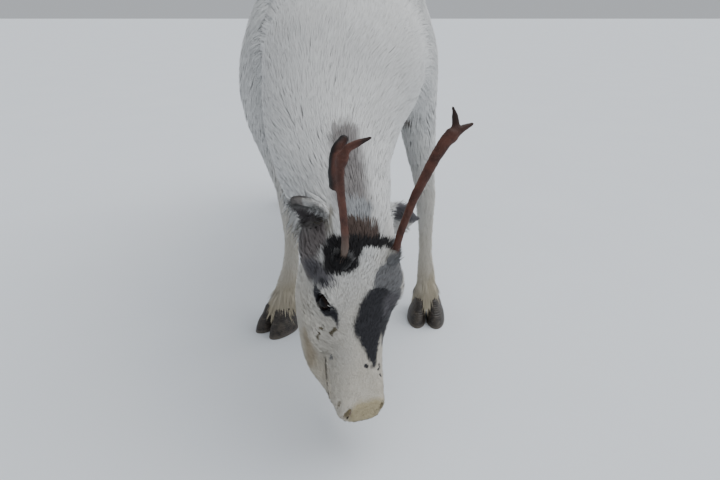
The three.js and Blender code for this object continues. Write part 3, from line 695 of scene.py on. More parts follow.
class Nodes:
    """Short calls for the nodes of one tree."""

    def __init__(self, tree):
        self.tree = tree

    def add(self, kind, values=(), **settings):
        node = self.tree.nodes.new(kind)
        for key, value in settings.items():
            setattr(node, key, value)
        for key, value in dict(values).items():
            if isinstance(value, bpy.types.NodeSocket):
                self.tree.links.new(value, node.inputs[key])
            else:
                node.inputs[key].default_value = value
        return node

    def math(self, operation, *values, clamp=False):
        return self.add("ShaderNodeMath", enumerate(values), operation=operation, use_clamp=clamp).outputs[0]

    def vector(self, operation, *values):
        node = self.add("ShaderNodeVectorMath", enumerate(values), operation=operation)
        return node.outputs["Value" if operation in ("DOT_PRODUCT", "LENGTH", "DISTANCE") else "Vector"]

    def mix(self, share, a, b, blend="MIX"):
        node = self.add("ShaderNodeMix", data_type="RGBA", blend_type=blend)
        for place, value in ((0, share), (6, a), (7, b)):
            if isinstance(value, bpy.types.NodeSocket):
                self.tree.links.new(value, node.inputs[place])
            else:
                node.inputs[place].default_value = (*value, 1) if place and len(value) == 3 else value
        return node.outputs[2]

    def noise(self, place, scale, detail=2.0, output="Fac"):
        values = {"Vector": place, "Scale": scale, "Detail": detail}
        return self.add("ShaderNodeTexNoise", values).outputs[output]

    def here(self):
        return self.add("ShaderNodeTexCoord").outputs["Object"]

    def height(self, place):
        return self.add("ShaderNodeSeparateXYZ", {0: place}).outputs[2]

    def noted(self, name, output):
        return self.add("ShaderNodeAttribute", attribute_name=name).outputs[output]

    def step(self, value, low, high):
        """Runs smoothly from nought at low to one at high."""
        node = self.add("ShaderNodeMapRange", {"Value": value, "From Min": low, "From Max": high},
                        interpolation_type="SMOOTHSTEP")
        return node.outputs[0]


def new_group(name, inputs, outputs):
    group = bpy.data.node_groups.new(name, "ShaderNodeTree")
    for title, kind in inputs:
        group.interface.new_socket(title, in_out="INPUT", socket_type="NodeSocket" + kind)
    for title, kind in outputs:
        group.interface.new_socket(title, in_out="OUTPUT", socket_type="NodeSocket" + kind)
    nodes = Nodes(group)
    return nodes, nodes.add("NodeGroupInput").outputs, nodes.add("NodeGroupOutput").inputs


# One patch: how much of it covers a place
nodes, given, made = new_group("patch", [("Place", "Vector"), ("From", "Vector"), ("To", "Vector"),
                                         ("Radius From", "Float"), ("Radius To", "Float"), ("Soft", "Float")],
                               [("Cover", "Float")])
run = nodes.vector("SUBTRACT", given["To"], given["From"])
off = nodes.vector("SUBTRACT", given["Place"], given["From"])
covered = nodes.vector("DOT_PRODUCT", off, run)
share = nodes.math("DIVIDE", covered, nodes.vector("DOT_PRODUCT", run, run), clamp=True)
scaled = nodes.add("ShaderNodeVectorMath", {0: run, "Scale": share}, operation="SCALE").outputs[0]
away = nodes.vector("LENGTH", nodes.vector("SUBTRACT", off, scaled))
grown = nodes.math("SUBTRACT", given["Radius To"], given["Radius From"])
radius = nodes.math("MULTIPLY_ADD", grown, share, given["Radius From"])
edge = nodes.math("DIVIDE", nodes.math("SUBTRACT", radius, away), given["Soft"])
nodes.tree.links.new(nodes.step(edge, -0.5, 0.5), made["Cover"])
PATCH = nodes.tree


def head_place(nodes, place):
    """How far left of the head's middle, up the face and out of it a place lies."""
    offset = nodes.vector("SUBTRACT", place, tuple(HEAD_AT * MM + ORIGIN))
    return [nodes.vector("DOT_PRODUCT", offset, tuple(axis)) for axis in HEAD_AXES]


# The whole coat's colour at a place. Its edges wander broadly and finely, by a noise's scale and reach.
WANDERINGS = ((55, 0.012), (260, 0.005))
nodes, given, made = new_group("coat_markings", [("Place", "Vector")], [("Color", "Color")])
place = given["Place"]
in_head = nodes.add("ShaderNodeCombineXYZ", enumerate(head_place(nodes, place))).outputs[0]
for scale, reach in WANDERINGS:
    wobble = nodes.vector("SUBTRACT", nodes.noise(place, scale, output="Color"), (0.5, 0.5, 0.5))
    wobble = nodes.vector("MULTIPLY", wobble, (reach, reach, reach))
    in_head = nodes.vector("ADD", in_head, wobble)
cloud = nodes.noise(place, 9, 4)
color = nodes.mix(nodes.step(cloud, 0.35, 0.75), WHITE, SHADED_WHITE)
low_leg = nodes.math("MULTIPLY_ADD", nodes.math("SUBTRACT", cloud, 0.5), 0.3, nodes.height(place))
color = nodes.mix(nodes.step(low_leg, 0.42, 0.16), color, IVORY)
color = nodes.mix(nodes.step(low_leg, 0.15, 0.05), color, CREAM)
for title, start, end, start_radius, end_radius, soft, tint in MARKINGS:
    ends = [tuple(np.array([x, -down, out]) * MM) for x, down, out in (start, end)]
    patch = nodes.add("ShaderNodeGroup", {}, node_tree=PATCH, label=title)
    nodes.tree.links.new(in_head, patch.inputs["Place"])
    patch.inputs["From"].default_value, patch.inputs["To"].default_value = ends
    patch.inputs["Radius From"].default_value = start_radius * MM
    patch.inputs["Radius To"].default_value = end_radius * MM
    patch.inputs["Soft"].default_value = soft * MM
    color = nodes.mix(patch.outputs[0], color, tint)
nodes.tree.links.new(color, made["Color"])
COAT_MARKINGS = nodes.tree


def new_material(name, roughness, **settings):
    material = bpy.data.materials.new(name)
    material.use_nodes = True
    shader = material.node_tree.nodes["Principled BSDF"]
    shader.inputs["Roughness"].default_value = roughness
    for key, value in settings.items():
        shader.inputs[key.replace("_", " ").title().replace("Ior", "IOR")].default_value = value
    return material, Nodes(material.node_tree), shader


def markings_at(nodes, place):
    """The coat's colour at a place, as one node of the shared group."""
    marks = nodes.add("ShaderNodeGroup", node_tree=COAT_MARKINGS)
    nodes.tree.links.new(place, marks.inputs[0])
    return marks.outputs[0]


def link(nodes, source, shader, socket):
    nodes.tree.links.new(source, shader.inputs[socket])


def raise_bumps(nodes, shader, height, distance, strength=1.0):
    bump = nodes.add("ShaderNodeBump", {"Height": height, "Distance": distance, "Strength": strength})
    link(nodes, bump.outputs[0], shader, "Normal")


hide, nodes, shader = new_material("hide", 0.8, specular_ior_level=0.2)
here = nodes.here()
# The hide is painted a little darker than the coat's markings: painted shade in the coat's depth between the
# tufts
under = nodes.mix(1.0, markings_at(nodes, here), (0.9, 0.89, 0.88), blend="MULTIPLY")
link(nodes, under, shader, "Base Color")
raise_bumps(nodes, shader, nodes.noise(here, 420, 3), 0.0012)
skin.data.materials.append(hide)

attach(skin, "root")
FLESH_NODES = ["torso", "neck", "head", "tail", "ear_left", "ear_right"] + ["leg_" + name for name in FEET]
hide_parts(*FLESH_NODES)

# The eyes
# Dark glossy balls that swell a little at the front, with a brown iris and a level oval pupil. Each has a
# little play in its socket.
def note(mesh, name, kind, values):
    """An attribute with one value for each corner of the mesh: FLOAT or FLOAT_VECTOR."""
    key = "value" if kind == "FLOAT" else "vector"
    values = np.asarray(values).astype(np.float32).ravel()
    mesh.attributes.new(name, kind, "POINT").data.foreach_set(key, values)


EYE_PLAY = 0.5
CORNEA = 0.9


def make_eye(side, rings=28, sides=40):
    slope = np.linspace(0, np.pi, rings + 1)[1:-1]
    around = np.linspace(0, 2 * np.pi, sides, endpoint=False)
    s, a = np.meshgrid(slope, around, indexing="ij")
    radius = EYE_RADIUS - EYE_PLAY + CORNEA * np.exp(-(s / 0.5)**4)
    local = np.stack([radius * np.sin(s) * np.cos(a), radius * np.sin(s) * np.sin(a), radius * np.cos(s)],
                     axis=-1)
    poles = [[0, 0, EYE_RADIUS - EYE_PLAY + CORNEA], [0, 0, EYE_PLAY - EYE_RADIUS]]
    local = np.vstack([local.reshape(-1, 3), poles])
    quads = []
    for r in range(rings - 2):
        for k in range(sides):
            n = (k + 1) % sides
            quads.append((r * sides + k, (r + 1) * sides + k, (r + 1) * sides + n, r * sides + n))
    front, back = len(local) - 2, len(local) - 1
    last = (rings - 2) * sides
    caps = [(front, k, (k + 1) % sides) for k in range(sides)]
    caps += [(back, last + (k + 1) % sides, last + k) for k in range(sides)]
    name = "left" if side > 0 else "right"
    eye = make_piece("eyeball_" + name, out_of_head(EYE_AT[side] + local @ eye_axes(side)),
                     [np.array(quads), np.array(caps)])
    note(eye.data, "lid_plane", "FLOAT_VECTOR", local / EYE_RADIUS)
    return eye, name


eye_finish, nodes, shader = new_material("eye_dark", 0.1, specular_ior_level=0.12)
plane = nodes.noted("lid_plane", "Vector")
across = nodes.vector("LENGTH", nodes.vector("MULTIPLY", plane, (1, 1, 0)))
pupil = nodes.vector("LENGTH", nodes.vector("MULTIPLY", plane, (2.0, 3.6, 0)))
streak = nodes.noise(nodes.vector("MULTIPLY", plane, (9, 9, 0)), 1.6, 3)
iris = nodes.mix(streak, (0.008, 0.005, 0.004), (0.022, 0.012, 0.008))
ball = nodes.mix(nodes.step(across, 0.6, 0.72), iris, (0.006, 0.005, 0.005))
link(nodes, nodes.mix(nodes.step(pupil, 1.15, 0.9), ball, (0.002, 0.002, 0.003)), shader, "Base Color")
for side in (-1, 1):
    eye, name = make_eye(side)
    eye.data.materials.append(eye_finish)
    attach(eye, "root")
    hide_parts("eye_" + name)

# The antlers
# Small winter antlers of bare brown bone: a beam that flattens towards its fork, with short tapering tines.
# Each is one piece from the burr at the skull to the tips.
ANTLERS = {
    "left": {
        "beam": [(43, -90, -14, 8, 8, 8), (44, -66, 8, 6, 6, 6), (44, -40, 24, 5.4, 6, 6),
                 (52, 4, 45, 6.2, 6.6, 6.6), (62, 33, 58, 7, 7.4, 7.4), (72, 60, 70, 8, 8, 8),
                 (83, 82, 80, 9.4, 8, 8), (91, 92, 84, 9.6, 7, 7)],
        "upper_tine": [(91, 88, 83, 7, 6, 6), (96, 104, 86, 5.4, 5, 5), (94, 117, 88, 4, 3.8, 3.8),
                       (90, 125, 90, 2, 2, 2)],
        "outer_tine": [(92, 92, 83, 7, 6, 6), (106, 100, 87, 5.6, 5, 5), (119, 106, 90, 2.6, 2.6, 2.6)],
    },
    "right": {
        "beam": [(-42, -92, -12, 7, 7, 7), (-42, -70, 8, 5.4, 5.4, 5.4), (-47, -44, 22, 5.4, 5.8, 5.8),
                 (-58, -14, 40, 5.4, 6.4, 6.4), (-67, 14, 53, 5.6, 7.4, 7.4), (-72, 41, 62, 6.2, 9, 9),
                 (-71, 58, 66, 7, 9, 9)],
        "inner_tine": [(-71, 52, 68, 6, 5.6, 5.6), (-67, 66, 73, 5.4, 5.2, 5.2), (-55, 74, 80, 4.6, 4.4, 4.4),
                       (-43, 79, 86, 2.2, 2.2, 2.2)],
        "rear_tine": [(-73, 22, 44, 6, 9, 9), (-74, 44, 50, 8, 10, 10), (-71, 66, 54, 9, 8, 8),
                      (-62, 82, 56, 6, 5, 5)],
    },
}
ANTLER_WEAVE = 1.5
ANTLER_ROOM = 16
BURR = {"left": (43, -78, -2), "right": (-42, -80, -1)}


def ripple(points, pitch, seed):
    """A gentle unevenness between -1 and 1."""
    rng = np.random.default_rng(seed)
    total = np.zeros(len(points))
    for _ in range(6):
        way = unit(rng.normal(size=3)) * 2 * np.pi / (pitch * rng.uniform(0.7, 1.5))
        total += np.sin(points @ way + rng.uniform(0, 6.3))
    return total / 3


FORK_FILLET, BURR_FILLET = 6, 3


def antler_gap(which):
    forms = [Form(rows, front=(0.2, 0.55, -0.8), caps=(6, 5)) for rows in ANTLERS[which].values()]
    burr = Ball(BURR[which], (9, 5, 8.5), (0.7, 0, 0))

    def gap(points):
        antler = forms[0].gap(points)
        for form in forms[1:]:
            antler = swell_into(antler, form.gap(points), FORK_FILLET)
        antler = swell_into(antler, burr.gap(points) - 0.5 * ripple(points, 5, 5), BURR_FILLET)
        return antler - 0.25 * ripple(points, 22, 3) - 0.15 * ripple(points, 6, 4)
    return gap


antler_bone, nodes, shader = new_material("antler_bone", 0.55, specular_ior_level=0.25)
here = nodes.here()
leftward, up_face, out_face = head_place(nodes, here)
grain = nodes.noise(here, 300, 4)
mottle = nodes.noise(here, 60, 3)
bone = nodes.mix(nodes.step(mottle, 0.3, 0.7), (0.055, 0.022, 0.016), (0.11, 0.043, 0.03))
bone = nodes.mix(nodes.math("MULTIPLY", nodes.step(grain, 0.5, 0.8), 0.35), bone, (0.15, 0.09, 0.07))
# The right antler is pale at its foot and tips are dark. The right one's back, with its tine behind the beam,
# is painted near black as painted shade.
pale_foot = nodes.math("MULTIPLY", nodes.step(up_face, -0.03, -0.075), nodes.step(leftward, 0.01, -0.01))
bone = nodes.mix(nodes.math("MULTIPLY", pale_foot, 0.75), bone, (0.17, 0.135, 0.11))
tip = nodes.step(nodes.math("ADD", up_face, nodes.math("MULTIPLY", mottle, 0.02)), 0.092, 0.128)
inner_tip = nodes.math("MULTIPLY", nodes.step(leftward, -0.058, -0.048), nodes.step(leftward, 0.0, -0.02))
inner_tip = nodes.math("MULTIPLY", inner_tip, nodes.step(up_face, 0.06, 0.075))
tip = nodes.math("MAXIMUM", tip, inner_tip)
bone = nodes.mix(nodes.math("MULTIPLY", tip, 0.85), bone, (0.015, 0.011, 0.01))
# Painted shade: the back of the right antler above its foot, with the tine behind the beam, turns near black
lean = nodes.math("MULTIPLY_ADD", up_face, -0.16, nodes.math("SUBTRACT", out_face, 0.049))
rear_painted_shade = nodes.math("MULTIPLY", nodes.step(lean, 0.004, -0.004), nodes.step(leftward, -0.03, -0.05))
rear_painted_shade = nodes.math("MULTIPLY", rear_painted_shade, nodes.step(up_face, 0.0, 0.025))
bone = nodes.mix(rear_painted_shade, bone, (0.007, 0.006, 0.006))
link(nodes, bone, shader, "Base Color")
fibre = nodes.noise(nodes.vector("MULTIPLY", here, (1, 1, 0.35)), 700, 4)
raise_bumps(nodes, shader, fibre, 0.0006)
for which, rows in ANTLERS.items():
    ends = np.array([row[:3] for form in rows.values() for row in form])
    gap = antler_gap(which)
    points, quads = drape(gap, ends.min(axis=0) - ANTLER_ROOM, ends.max(axis=0) + ANTLER_ROOM, ANTLER_WEAVE)
    points = settle(points, gap, reach=0.2)
    antler = make_piece("antler_" + which, out_of_head(points), [quads])
    antler.data.materials.append(antler_bone)
    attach(antler, "root")
    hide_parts(*["antler_" + which + "_" + part for part in rows])

# The hooves
# Two broad crescent claws on each foot, flat underneath, with two dewclaws hanging behind the pastern.
CORONET = 42
CLAW_SPLIT = 2.4
HOOF_WEAVE = 1.9
GROWTH_LINES = 1500  # waves of the horn up the claw, in radians a metre


def claw_gap(side):
    form = Form([(side * 15, 2, CORONET + 8, 15, 30, 22), (side * 17, 4, 30, 19, 37, 27),
                 (side * 20, 7, 12, 22, 46, 31), (side * 21, 9, -6, 23, 51, 32)],
                front=(0, 1, 0), caps=(8, 4))

    def gap(points):
        claw = form.gap(points) + 0.25 * np.sin(points[:, 2] * 1.15 + 0.06 * points[:, 1]) + 0.5
        cleft = CLAW_SPLIT - (side * points[:, 0] + 0.05 * points[:, 1])
        claw = carve_from(claw, -cleft, 4)
        return carve_from(claw, points[:, 2] - 0.05, 1.2)
    return gap


def dewclaw_gap(side):
    form = Form([(side * 15, -20, 66, 8, 9, 9), (side * 20, -31, 48, 10, 11, 10),
                 (side * 22, -38, 27, 8, 9, 7), (side * 21, -41, 14, 5, 6, 4)],
                front=(0, 1, 0), caps=(4, 3))

    def gap(points):
        return form.gap(points) + 0.2 * np.sin(points[:, 2] * 1.3) + 0.3
    return gap


def foot_to_plan(name, points):
    stations, turn = FEET[name]
    c, s = np.cos(np.radians(turn + 180)), np.sin(np.radians(turn + 180))
    x = c * points[:, 0] - s * points[:, 1] + stations[-1][0]
    y = s * points[:, 0] + c * points[:, 1] + stations[-1][1]
    return np.stack([x, y, points[:, 2]], axis=1)


hoof_horn, nodes, shader = new_material("hoof_horn", 0.42, specular_ior_level=0.4)
here = nodes.here()
height = nodes.height(here)
rise = nodes.math("MULTIPLY", height, GROWTH_LINES)
wave = nodes.math("SINE", nodes.math("MULTIPLY_ADD", nodes.noise(here, 40), 4.0, rise))
blotch = nodes.step(nodes.noise(here, 90, 4), 0.35, 0.7)
horn = nodes.mix(blotch, (0.028, 0.023, 0.02), (0.075, 0.062, 0.05))
horn = nodes.mix(nodes.step(height, 0.01, 0.0), horn, (0.14, 0.12, 0.1))
link(nodes, horn, shader, "Base Color")
raise_bumps(nodes, shader, wave, 0.0004)
claws = {}
for side, toe in ((1, "a"), (-1, "b")):
    for kind, gap, low, high in (("hoof", claw_gap(side), (-50, -42, -3), (50, 68, 58)),
                                 ("dewclaw", dewclaw_gap(side), (-38, -58, 4), (38, -4, 80))):
        points, quads = drape(gap, low, high, HOOF_WEAVE)
        claws[kind, toe] = (settle(points, gap, reach=0.2), quads)
for name in FEET:
    for (kind, toe), (points, quads) in claws.items():
        claw = make_piece("horn_" + kind + "_" + name + "_" + toe, foot_to_plan(name, points), [quads])
        claw.data.materials.append(hoof_horn)
        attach(claw, "root")
        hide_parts(kind + "_" + name + "_" + toe)

# The lie of the coat
# Hair lies back and down over the body, straight down the legs, and up the face from the nose to the crown.
# Each corner of the skin notes its way out, its depth of coat and its lie.
DOWN = np.array([0, 0, -1.0])


def lie_of(points):
    inner = into_head(points)
    flow = np.zeros((len(points), 3))

    def follow(gap, way):
        flow[:] += np.exp(-np.clip(gap, 0, 90) / 14)[:, None] * way

    follow(trunk.gap(points), TRUNK_AXIS + DOWN * 0.35)
    follow(neck.gap(points), neck.way(points) + DOWN * 0.35)
    for leg in legs.values():
        follow(leg.gap(points), leg.way(points) + TRUNK_AXIS * 0.3)
    follow(tail.gap(points), DOWN)
    side = np.clip(inner[:, 0] / 40, -1, 1)
    up_face = np.stack([side * 0.35, np.ones(len(side)), -np.clip(-inner[:, 2] / 300, 0, 0.4)], axis=1)
    follow(np.minimum(skull.gap(inner), jaw.gap(inner)) - 2, up_face @ HEAD_AXES)
    for which, (shell, _) in ears.items():
        root, tip, _ = (np.array(v, float) for v in EARS[which])
        follow(shell.gap(inner) - 6, 3 * unit(tip - root) @ HEAD_AXES)
    return flow


def outward_of(mesh):
    """The way out of the surface at each corner."""
    ways = np.empty(len(mesh.vertices) * 3, np.float32)
    mesh.vertex_normals.foreach_get("vector", ways)
    return ways.reshape(-1, 3)


skin_out = outward_of(skin.data).astype(float)
skin_depth = coat_depth(skin_points)
skin_lie = lie_of(skin_points)
skin_lie = unit(skin_lie - (skin_lie * skin_out).sum(1)[:, None] * skin_out + 1e-6)
skin_cuts = np.vstack([skin_quads[:, [0, 1, 2]], skin_quads[:, [0, 2, 3]], skin_triangles])
cut_middle = skin_points[skin_cuts].mean(axis=1)
cut_cross = np.cross(skin_points[skin_cuts[:, 1]] - skin_points[skin_cuts[:, 0]],
                     skin_points[skin_cuts[:, 2]] - skin_points[skin_cuts[:, 0]])
cut_area = np.linalg.norm(cut_cross, axis=1) / 2


def sow(mask, count, rng):
    """Roots spread evenly over part of the skin, with what the skin notes there."""
    cuts, areas = skin_cuts[mask], cut_area[mask]
    ends = np.cumsum(areas)
    pick = np.searchsorted(ends, (np.arange(count) + rng.random(count)) / count * ends[-1])
    pick = np.minimum(pick, len(cuts) - 1)
    share = rng.dirichlet((1, 1, 1), count)
    noted = [(rows[cuts[pick]] * share[..., None]).sum(1) for rows in (skin_points, skin_out, skin_lie)]
    depth = (skin_depth[cuts[pick]] * share).sum(1)
    return noted[0], unit(noted[1]), unit(noted[2]), depth


KEEL = 0.4


def blades(spines, sides, outs, halves):
    """Keeled blades with a triangular section. Spines hold the rings' middles and then the tip."""
    count, rings = halves.shape
    corners = np.empty((count, rings * 3 + 1, 3))
    for r in range(rings):
        half = halves[:, r, None]
        corners[:, r * 3] = spines[:, r] - sides * half
        corners[:, r * 3 + 1] = spines[:, r] + sides * half
        corners[:, r * 3 + 2] = spines[:, r] + outs * half * KEEL
    corners[:, -1] = spines[:, -1]
    first = (np.arange(count) * (rings * 3 + 1))[:, None, None]
    ring = [(r * 3 + c, r * 3 + (c + 1) % 3, r * 3 + 3 + (c + 1) % 3, r * 3 + 3 + c)
            for r in range(rings - 1) for c in range(3)]
    last = (rings - 1) * 3
    point = [(last + c, last + (c + 1) % 3, rings * 3) for c in range(3)] + [(2, 1, 0)]
    quads = (first + np.array(ring)[None]).reshape(-1, 4)
    triangles = (first + np.array(point)[None]).reshape(-1, 3)
    return corners.reshape(-1, 3), quads, triangles


def spread_over(values, rings):
    """The same value for every corner of a blade."""
    return np.repeat(values, rings * 3 + 1, axis=0)


# Hair has the skin's markings at its seat, is painted darker towards its root as painted shade in the coat's
# depth, and varies a little from tuft to tuft
ROOT_PAINTED_SHADE, TIP_SHADE, SHADE_SPREAD = 0.93, 1.0, 0.1
hair, nodes, shader = new_material("hair", 0.75, specular_ior_level=0.25, sheen_weight=0.25,
                                   sheen_roughness=0.4)
painted_shade_and_tone = nodes.math("MULTIPLY_ADD", nodes.noted("tipward", "Fac"), TIP_SHADE - ROOT_PAINTED_SHADE, ROOT_PAINTED_SHADE)
luck = nodes.math("SUBTRACT", nodes.noted("chance", "Fac"), 0.5)
painted_shade_and_tone = nodes.math("MULTIPLY_ADD", luck, SHADE_SPREAD, painted_shade_and_tone)
grey = nodes.add("ShaderNodeCombineColor", {0: painted_shade_and_tone, 1: painted_shade_and_tone, 2: painted_shade_and_tone}).outputs[0]
coloured = nodes.mix(1.0, markings_at(nodes, nodes.noted("seat", "Vector")), grey, blend="MULTIPLY")
link(nodes, coloured, shader, "Base Color")

# Each tuft has a patch of its own in the bake map, at its root's place on the unwrapped skin
PATCH_SIZE = 0.003
OWN_NORMAL = 0.2  # share of a blade's own normal; the rest is the coat's, so that the coat reads as one


def dress(name, seats, outs, spines, sides, halves, unwrapped, rng, faces_to=None):
    """Makes one coat piece from blades, with the notes its material reads and its bake map."""
    rings = halves.shape[1]
    corners, quads, triangles = blades(spines, sides, outs, halves)
    piece = make_piece(name, corners, [quads, triangles])
    mesh = piece.data
    note(mesh, "seat", "FLOAT_VECTOR", spread_over(seats, rings) * MM + ORIGIN)
    steps = np.append(np.repeat(np.arange(rings) / rings, 3), 1.0)
    note(mesh, "tipward", "FLOAT", np.tile(steps, len(seats)))
    note(mesh, "chance", "FLOAT", spread_over(rng.random(len(seats)), rings))
    across = np.append(np.tile([-1, 1, 0], rings), 0)
    upward = np.append(np.repeat(np.arange(rings), 3), rings)
    patch = np.stack([across, upward], axis=1) * (PATCH_SIZE / 2, PATCH_SIZE / rings)
    spots = (unwrapped[:, None, :] * 0.99 + patch[None]).reshape(-1, 2)
    uv = mesh.uv_layers.new(name="OFBake")
    order = np.empty(len(mesh.loops), np.int32)
    mesh.loops.foreach_get("vertex_index", order)
    uv.data.foreach_set("uv", spots[order].astype(np.float32).ravel())
    faces_to = outs if faces_to is None else faces_to
    soft = unit(outward_of(mesh) * OWN_NORMAL + spread_over(faces_to, rings))
    mesh.normals_split_custom_set_from_vertices(soft.astype(np.float32))
    mesh.materials.append(hair)
    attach(piece, "root")
    return piece


COAT_DEPTHS = (1.2, 3, 5.5, 8, 10)
TUFT_LENGTHS = (4, 7.5, 16, 32, 48)
TUFT_HALVES = (0.75, 1.0, 1.5, 2.0, 2.4)
TUFT_RINGS = 2
CLUMPING = 0.22
SEAT_SHARE = 0.7


def noise_vectors(points, pitch, seed):
    return np.stack([ripple(points, pitch, seed + k) for k in range(3)], axis=1)


def grow_coat(name, mask, count, seed, unwrap, clump=12.0, wander=0.16):
    """Tufts that rise from the skin, bend to lie along it and end at the outside of the coat."""
    rng = np.random.default_rng(seed)
    roots, outs, lies, depth = sow(mask, count, rng)
    length = np.interp(depth, COAT_DEPTHS, TUFT_LENGTHS) * rng.uniform(0.75, 1.25, count)
    half = np.interp(depth, COAT_DEPTHS, TUFT_HALVES) * rng.uniform(0.75, 1.25, count)
    lies = lies + wander * noise_vectors(roots, 70, seed) + wander * 0.5 * rng.normal(size=(count, 3))
    lies = unit(lies - (lies * outs).sum(1)[:, None] * outs)
    tips = roots + lies * length[:, None] + outs * depth[:, None]
    wide = clump * (0.35 + depth[:, None] / 10)
    cells = np.floor((roots + 6 * noise_vectors(roots, 30, seed + 9)) / wide)
    _, cell = np.unique(cells.round().astype(np.int64), axis=0, return_inverse=True)
    cell = cell.ravel()
    mean = np.zeros((cell.max() + 1, 3))
    np.add.at(mean, cell, tips)
    mean /= np.bincount(cell)[:, None]
    tips += CLUMPING * (mean[cell] - tips)
    want = -depth * rng.uniform(0, 0.32, count) + 0.09 * depth * ripple(roots * (0.3, 0.3, 1.6), 32, seed + 4)
    for nearer in (12, 4):
        tips += outs * (want - flesh_gap(tips))[:, None].clip(-30, nearer)
    steps = np.linspace(0, 1, TUFT_RINGS + 1)
    spines = np.empty((count, TUFT_RINGS + 1, 3))
    for k, s in enumerate(steps):
        line = roots + (tips - roots) * s
        lift = np.sin(s * np.pi) * depth * 0.22 - (1 - s) * 1.5
        spines[:, k] = line + outs * lift[:, None]
    taper = np.interp(steps[:-1], (0, 0.35, 1), (0.75, 1.0, 0.15))
    sides = unit(np.cross(outs, lies) + 0.25 * rng.normal(size=(count, 3)))
    seats = roots + (tips - roots) * SEAT_SHARE
    piece = dress(name, seats, outs, spines, sides, half[:, None] * taper, unwrap(roots), rng)
    return piece


def unwrap_round(*forms, in_head=False):
    """Unrolls the skin round forms into strips of one map, by the angle across and the share of the line."""
    def unwrap(points):
        points = into_head(points) if in_head else points
        strips = []
        for form in forms:
            place = form.nearest(points)
            centre, _, _, across, ahead = form.rings(place)
            turn = np.arctan2(((points - centre) * ahead).sum(1), ((points - centre) * across).sum(1))
            strips.append(np.stack([turn / (2 * np.pi) + 0.5, place / (len(form.centres) - 1)], axis=1))
        nearest = np.argmin([form.gap(points) for form in forms], axis=0)
        spots = np.stack(strips)[nearest, np.arange(len(points))]
        spots[:, 0] = (spots[:, 0] + nearest) / len(forms)
        return spots
    return unwrap


# Where each coat grows. The lids, the nostrils' pits and the mouth are bare.
BARE_LIDS = 17.5
LEG_COAT_BELOW = 430
NECK_COAT_TO = 250  # down the trunk's axis
FORE_TO = 420
NECK_MIDDLE = -30
cut_head = into_head(cut_middle)
on_ear = near_ear(cut_head) < 3
on_face = ~on_ear & (np.minimum(skull.gap(cut_head), jaw.gap(cut_head)) < 8)
bare = near_eye(cut_head) < BARE_LIDS
bare |= np.any([pit.gap(cut_head) < 2 for pit in nostril_pits + nostril_commas], axis=0)
bare |= mouth_groove.gap(cut_head) < 1
near_leg = np.min([leg.gap(cut_middle) for leg in legs.values()], axis=0) < 5
on_leg = ~on_face & ~on_ear & (cut_middle[:, 2] < LEG_COAT_BELOW) & near_leg
down_trunk = (cut_middle - CHEST) @ TRUNK_AXIS
on_neck = ~on_face & ~on_ear & ~on_leg & (down_trunk < NECK_COAT_TO)
on_neck &= neck.gap(cut_middle) < trunk.gap(cut_middle)
on_trunk = ~(on_face | on_ear | on_leg | on_neck)
neck_left = cut_middle[:, 0] > NECK_MIDDLE
fore = down_trunk < FORE_TO
trunk_map, neck_map = unwrap_round(trunk), unwrap_round(neck)
face_map = unwrap_round(skull, in_head=True)
ear_map = unwrap_round(*[shell for shell, _ in ears.values()], in_head=True)
fore_leg_map = unwrap_round(legs["fore_left"], legs["fore_right"])
hind_leg_map = unwrap_round(legs["hind_left"], legs["hind_right"])
grow_coat("coat_trunk_fore", on_trunk & fore, 19000, 11, trunk_map)
grow_coat("coat_trunk_hind", on_trunk & ~fore, 19000, 12, trunk_map)
grow_coat("coat_neck_left", on_neck & neck_left, 17500, 13, neck_map)
grow_coat("coat_neck_right", on_neck & ~neck_left, 17500, 14, neck_map)
grow_coat("coat_legs_fore", on_leg & fore, 15500, 15, fore_leg_map, 9, 0.12)
grow_coat("coat_legs_hind", on_leg & ~fore, 15500, 16, hind_leg_map, 9, 0.12)
grow_coat("coat_face", on_face & ~bare, 19500, 17, face_map, 7, 0.1)
grow_coat("coat_ears", on_ear, 6000, 18, ear_map, 8, 0.2)

# The throat mane
# A dewlap of long hair under the neck, longest along the middle, hanging in flat overlapping locks that
# part towards their tips.
def hang_hair(name, roots, outs, headings, lengths, droop, widths, outline, unwrap, rng, faces_to=None,
              seat_at=0):
    """Long hair as one piece. Each hair sets out along its heading and bends down under its own weight. Its
    half width is drawn from a range, and the outline gives the share of it at each ring."""
    count, rings = len(roots), len(outline)
    spines = [roots]
    way = unit(headings)
    for _ in range(rings):
        way = unit(way + DOWN * droop)
        spines.append(spines[-1] + way * (lengths / rings)[:, None])
    spines = np.stack(spines, axis=1)
    sides = unit(np.cross(outs, headings) + 0.3 * rng.normal(size=(count, 3)))
    halves = rng.uniform(*widths, count)[:, None] * np.array(outline)
    return dress(name, spines[:, seat_at], outs, spines, sides, halves, unwrap(roots), rng, faces_to)


MANE_LOCKS = 420
LOCK_HAIRS = 9
LOCK_LENGTH = 122
LOCK_SPREAD = 6
MANE_DEEP = 15  # the locks' roots under the coat
MANE_FIRST, MANE_LAST, MANE_SWEEP = 0.18, 0.68, 0.85


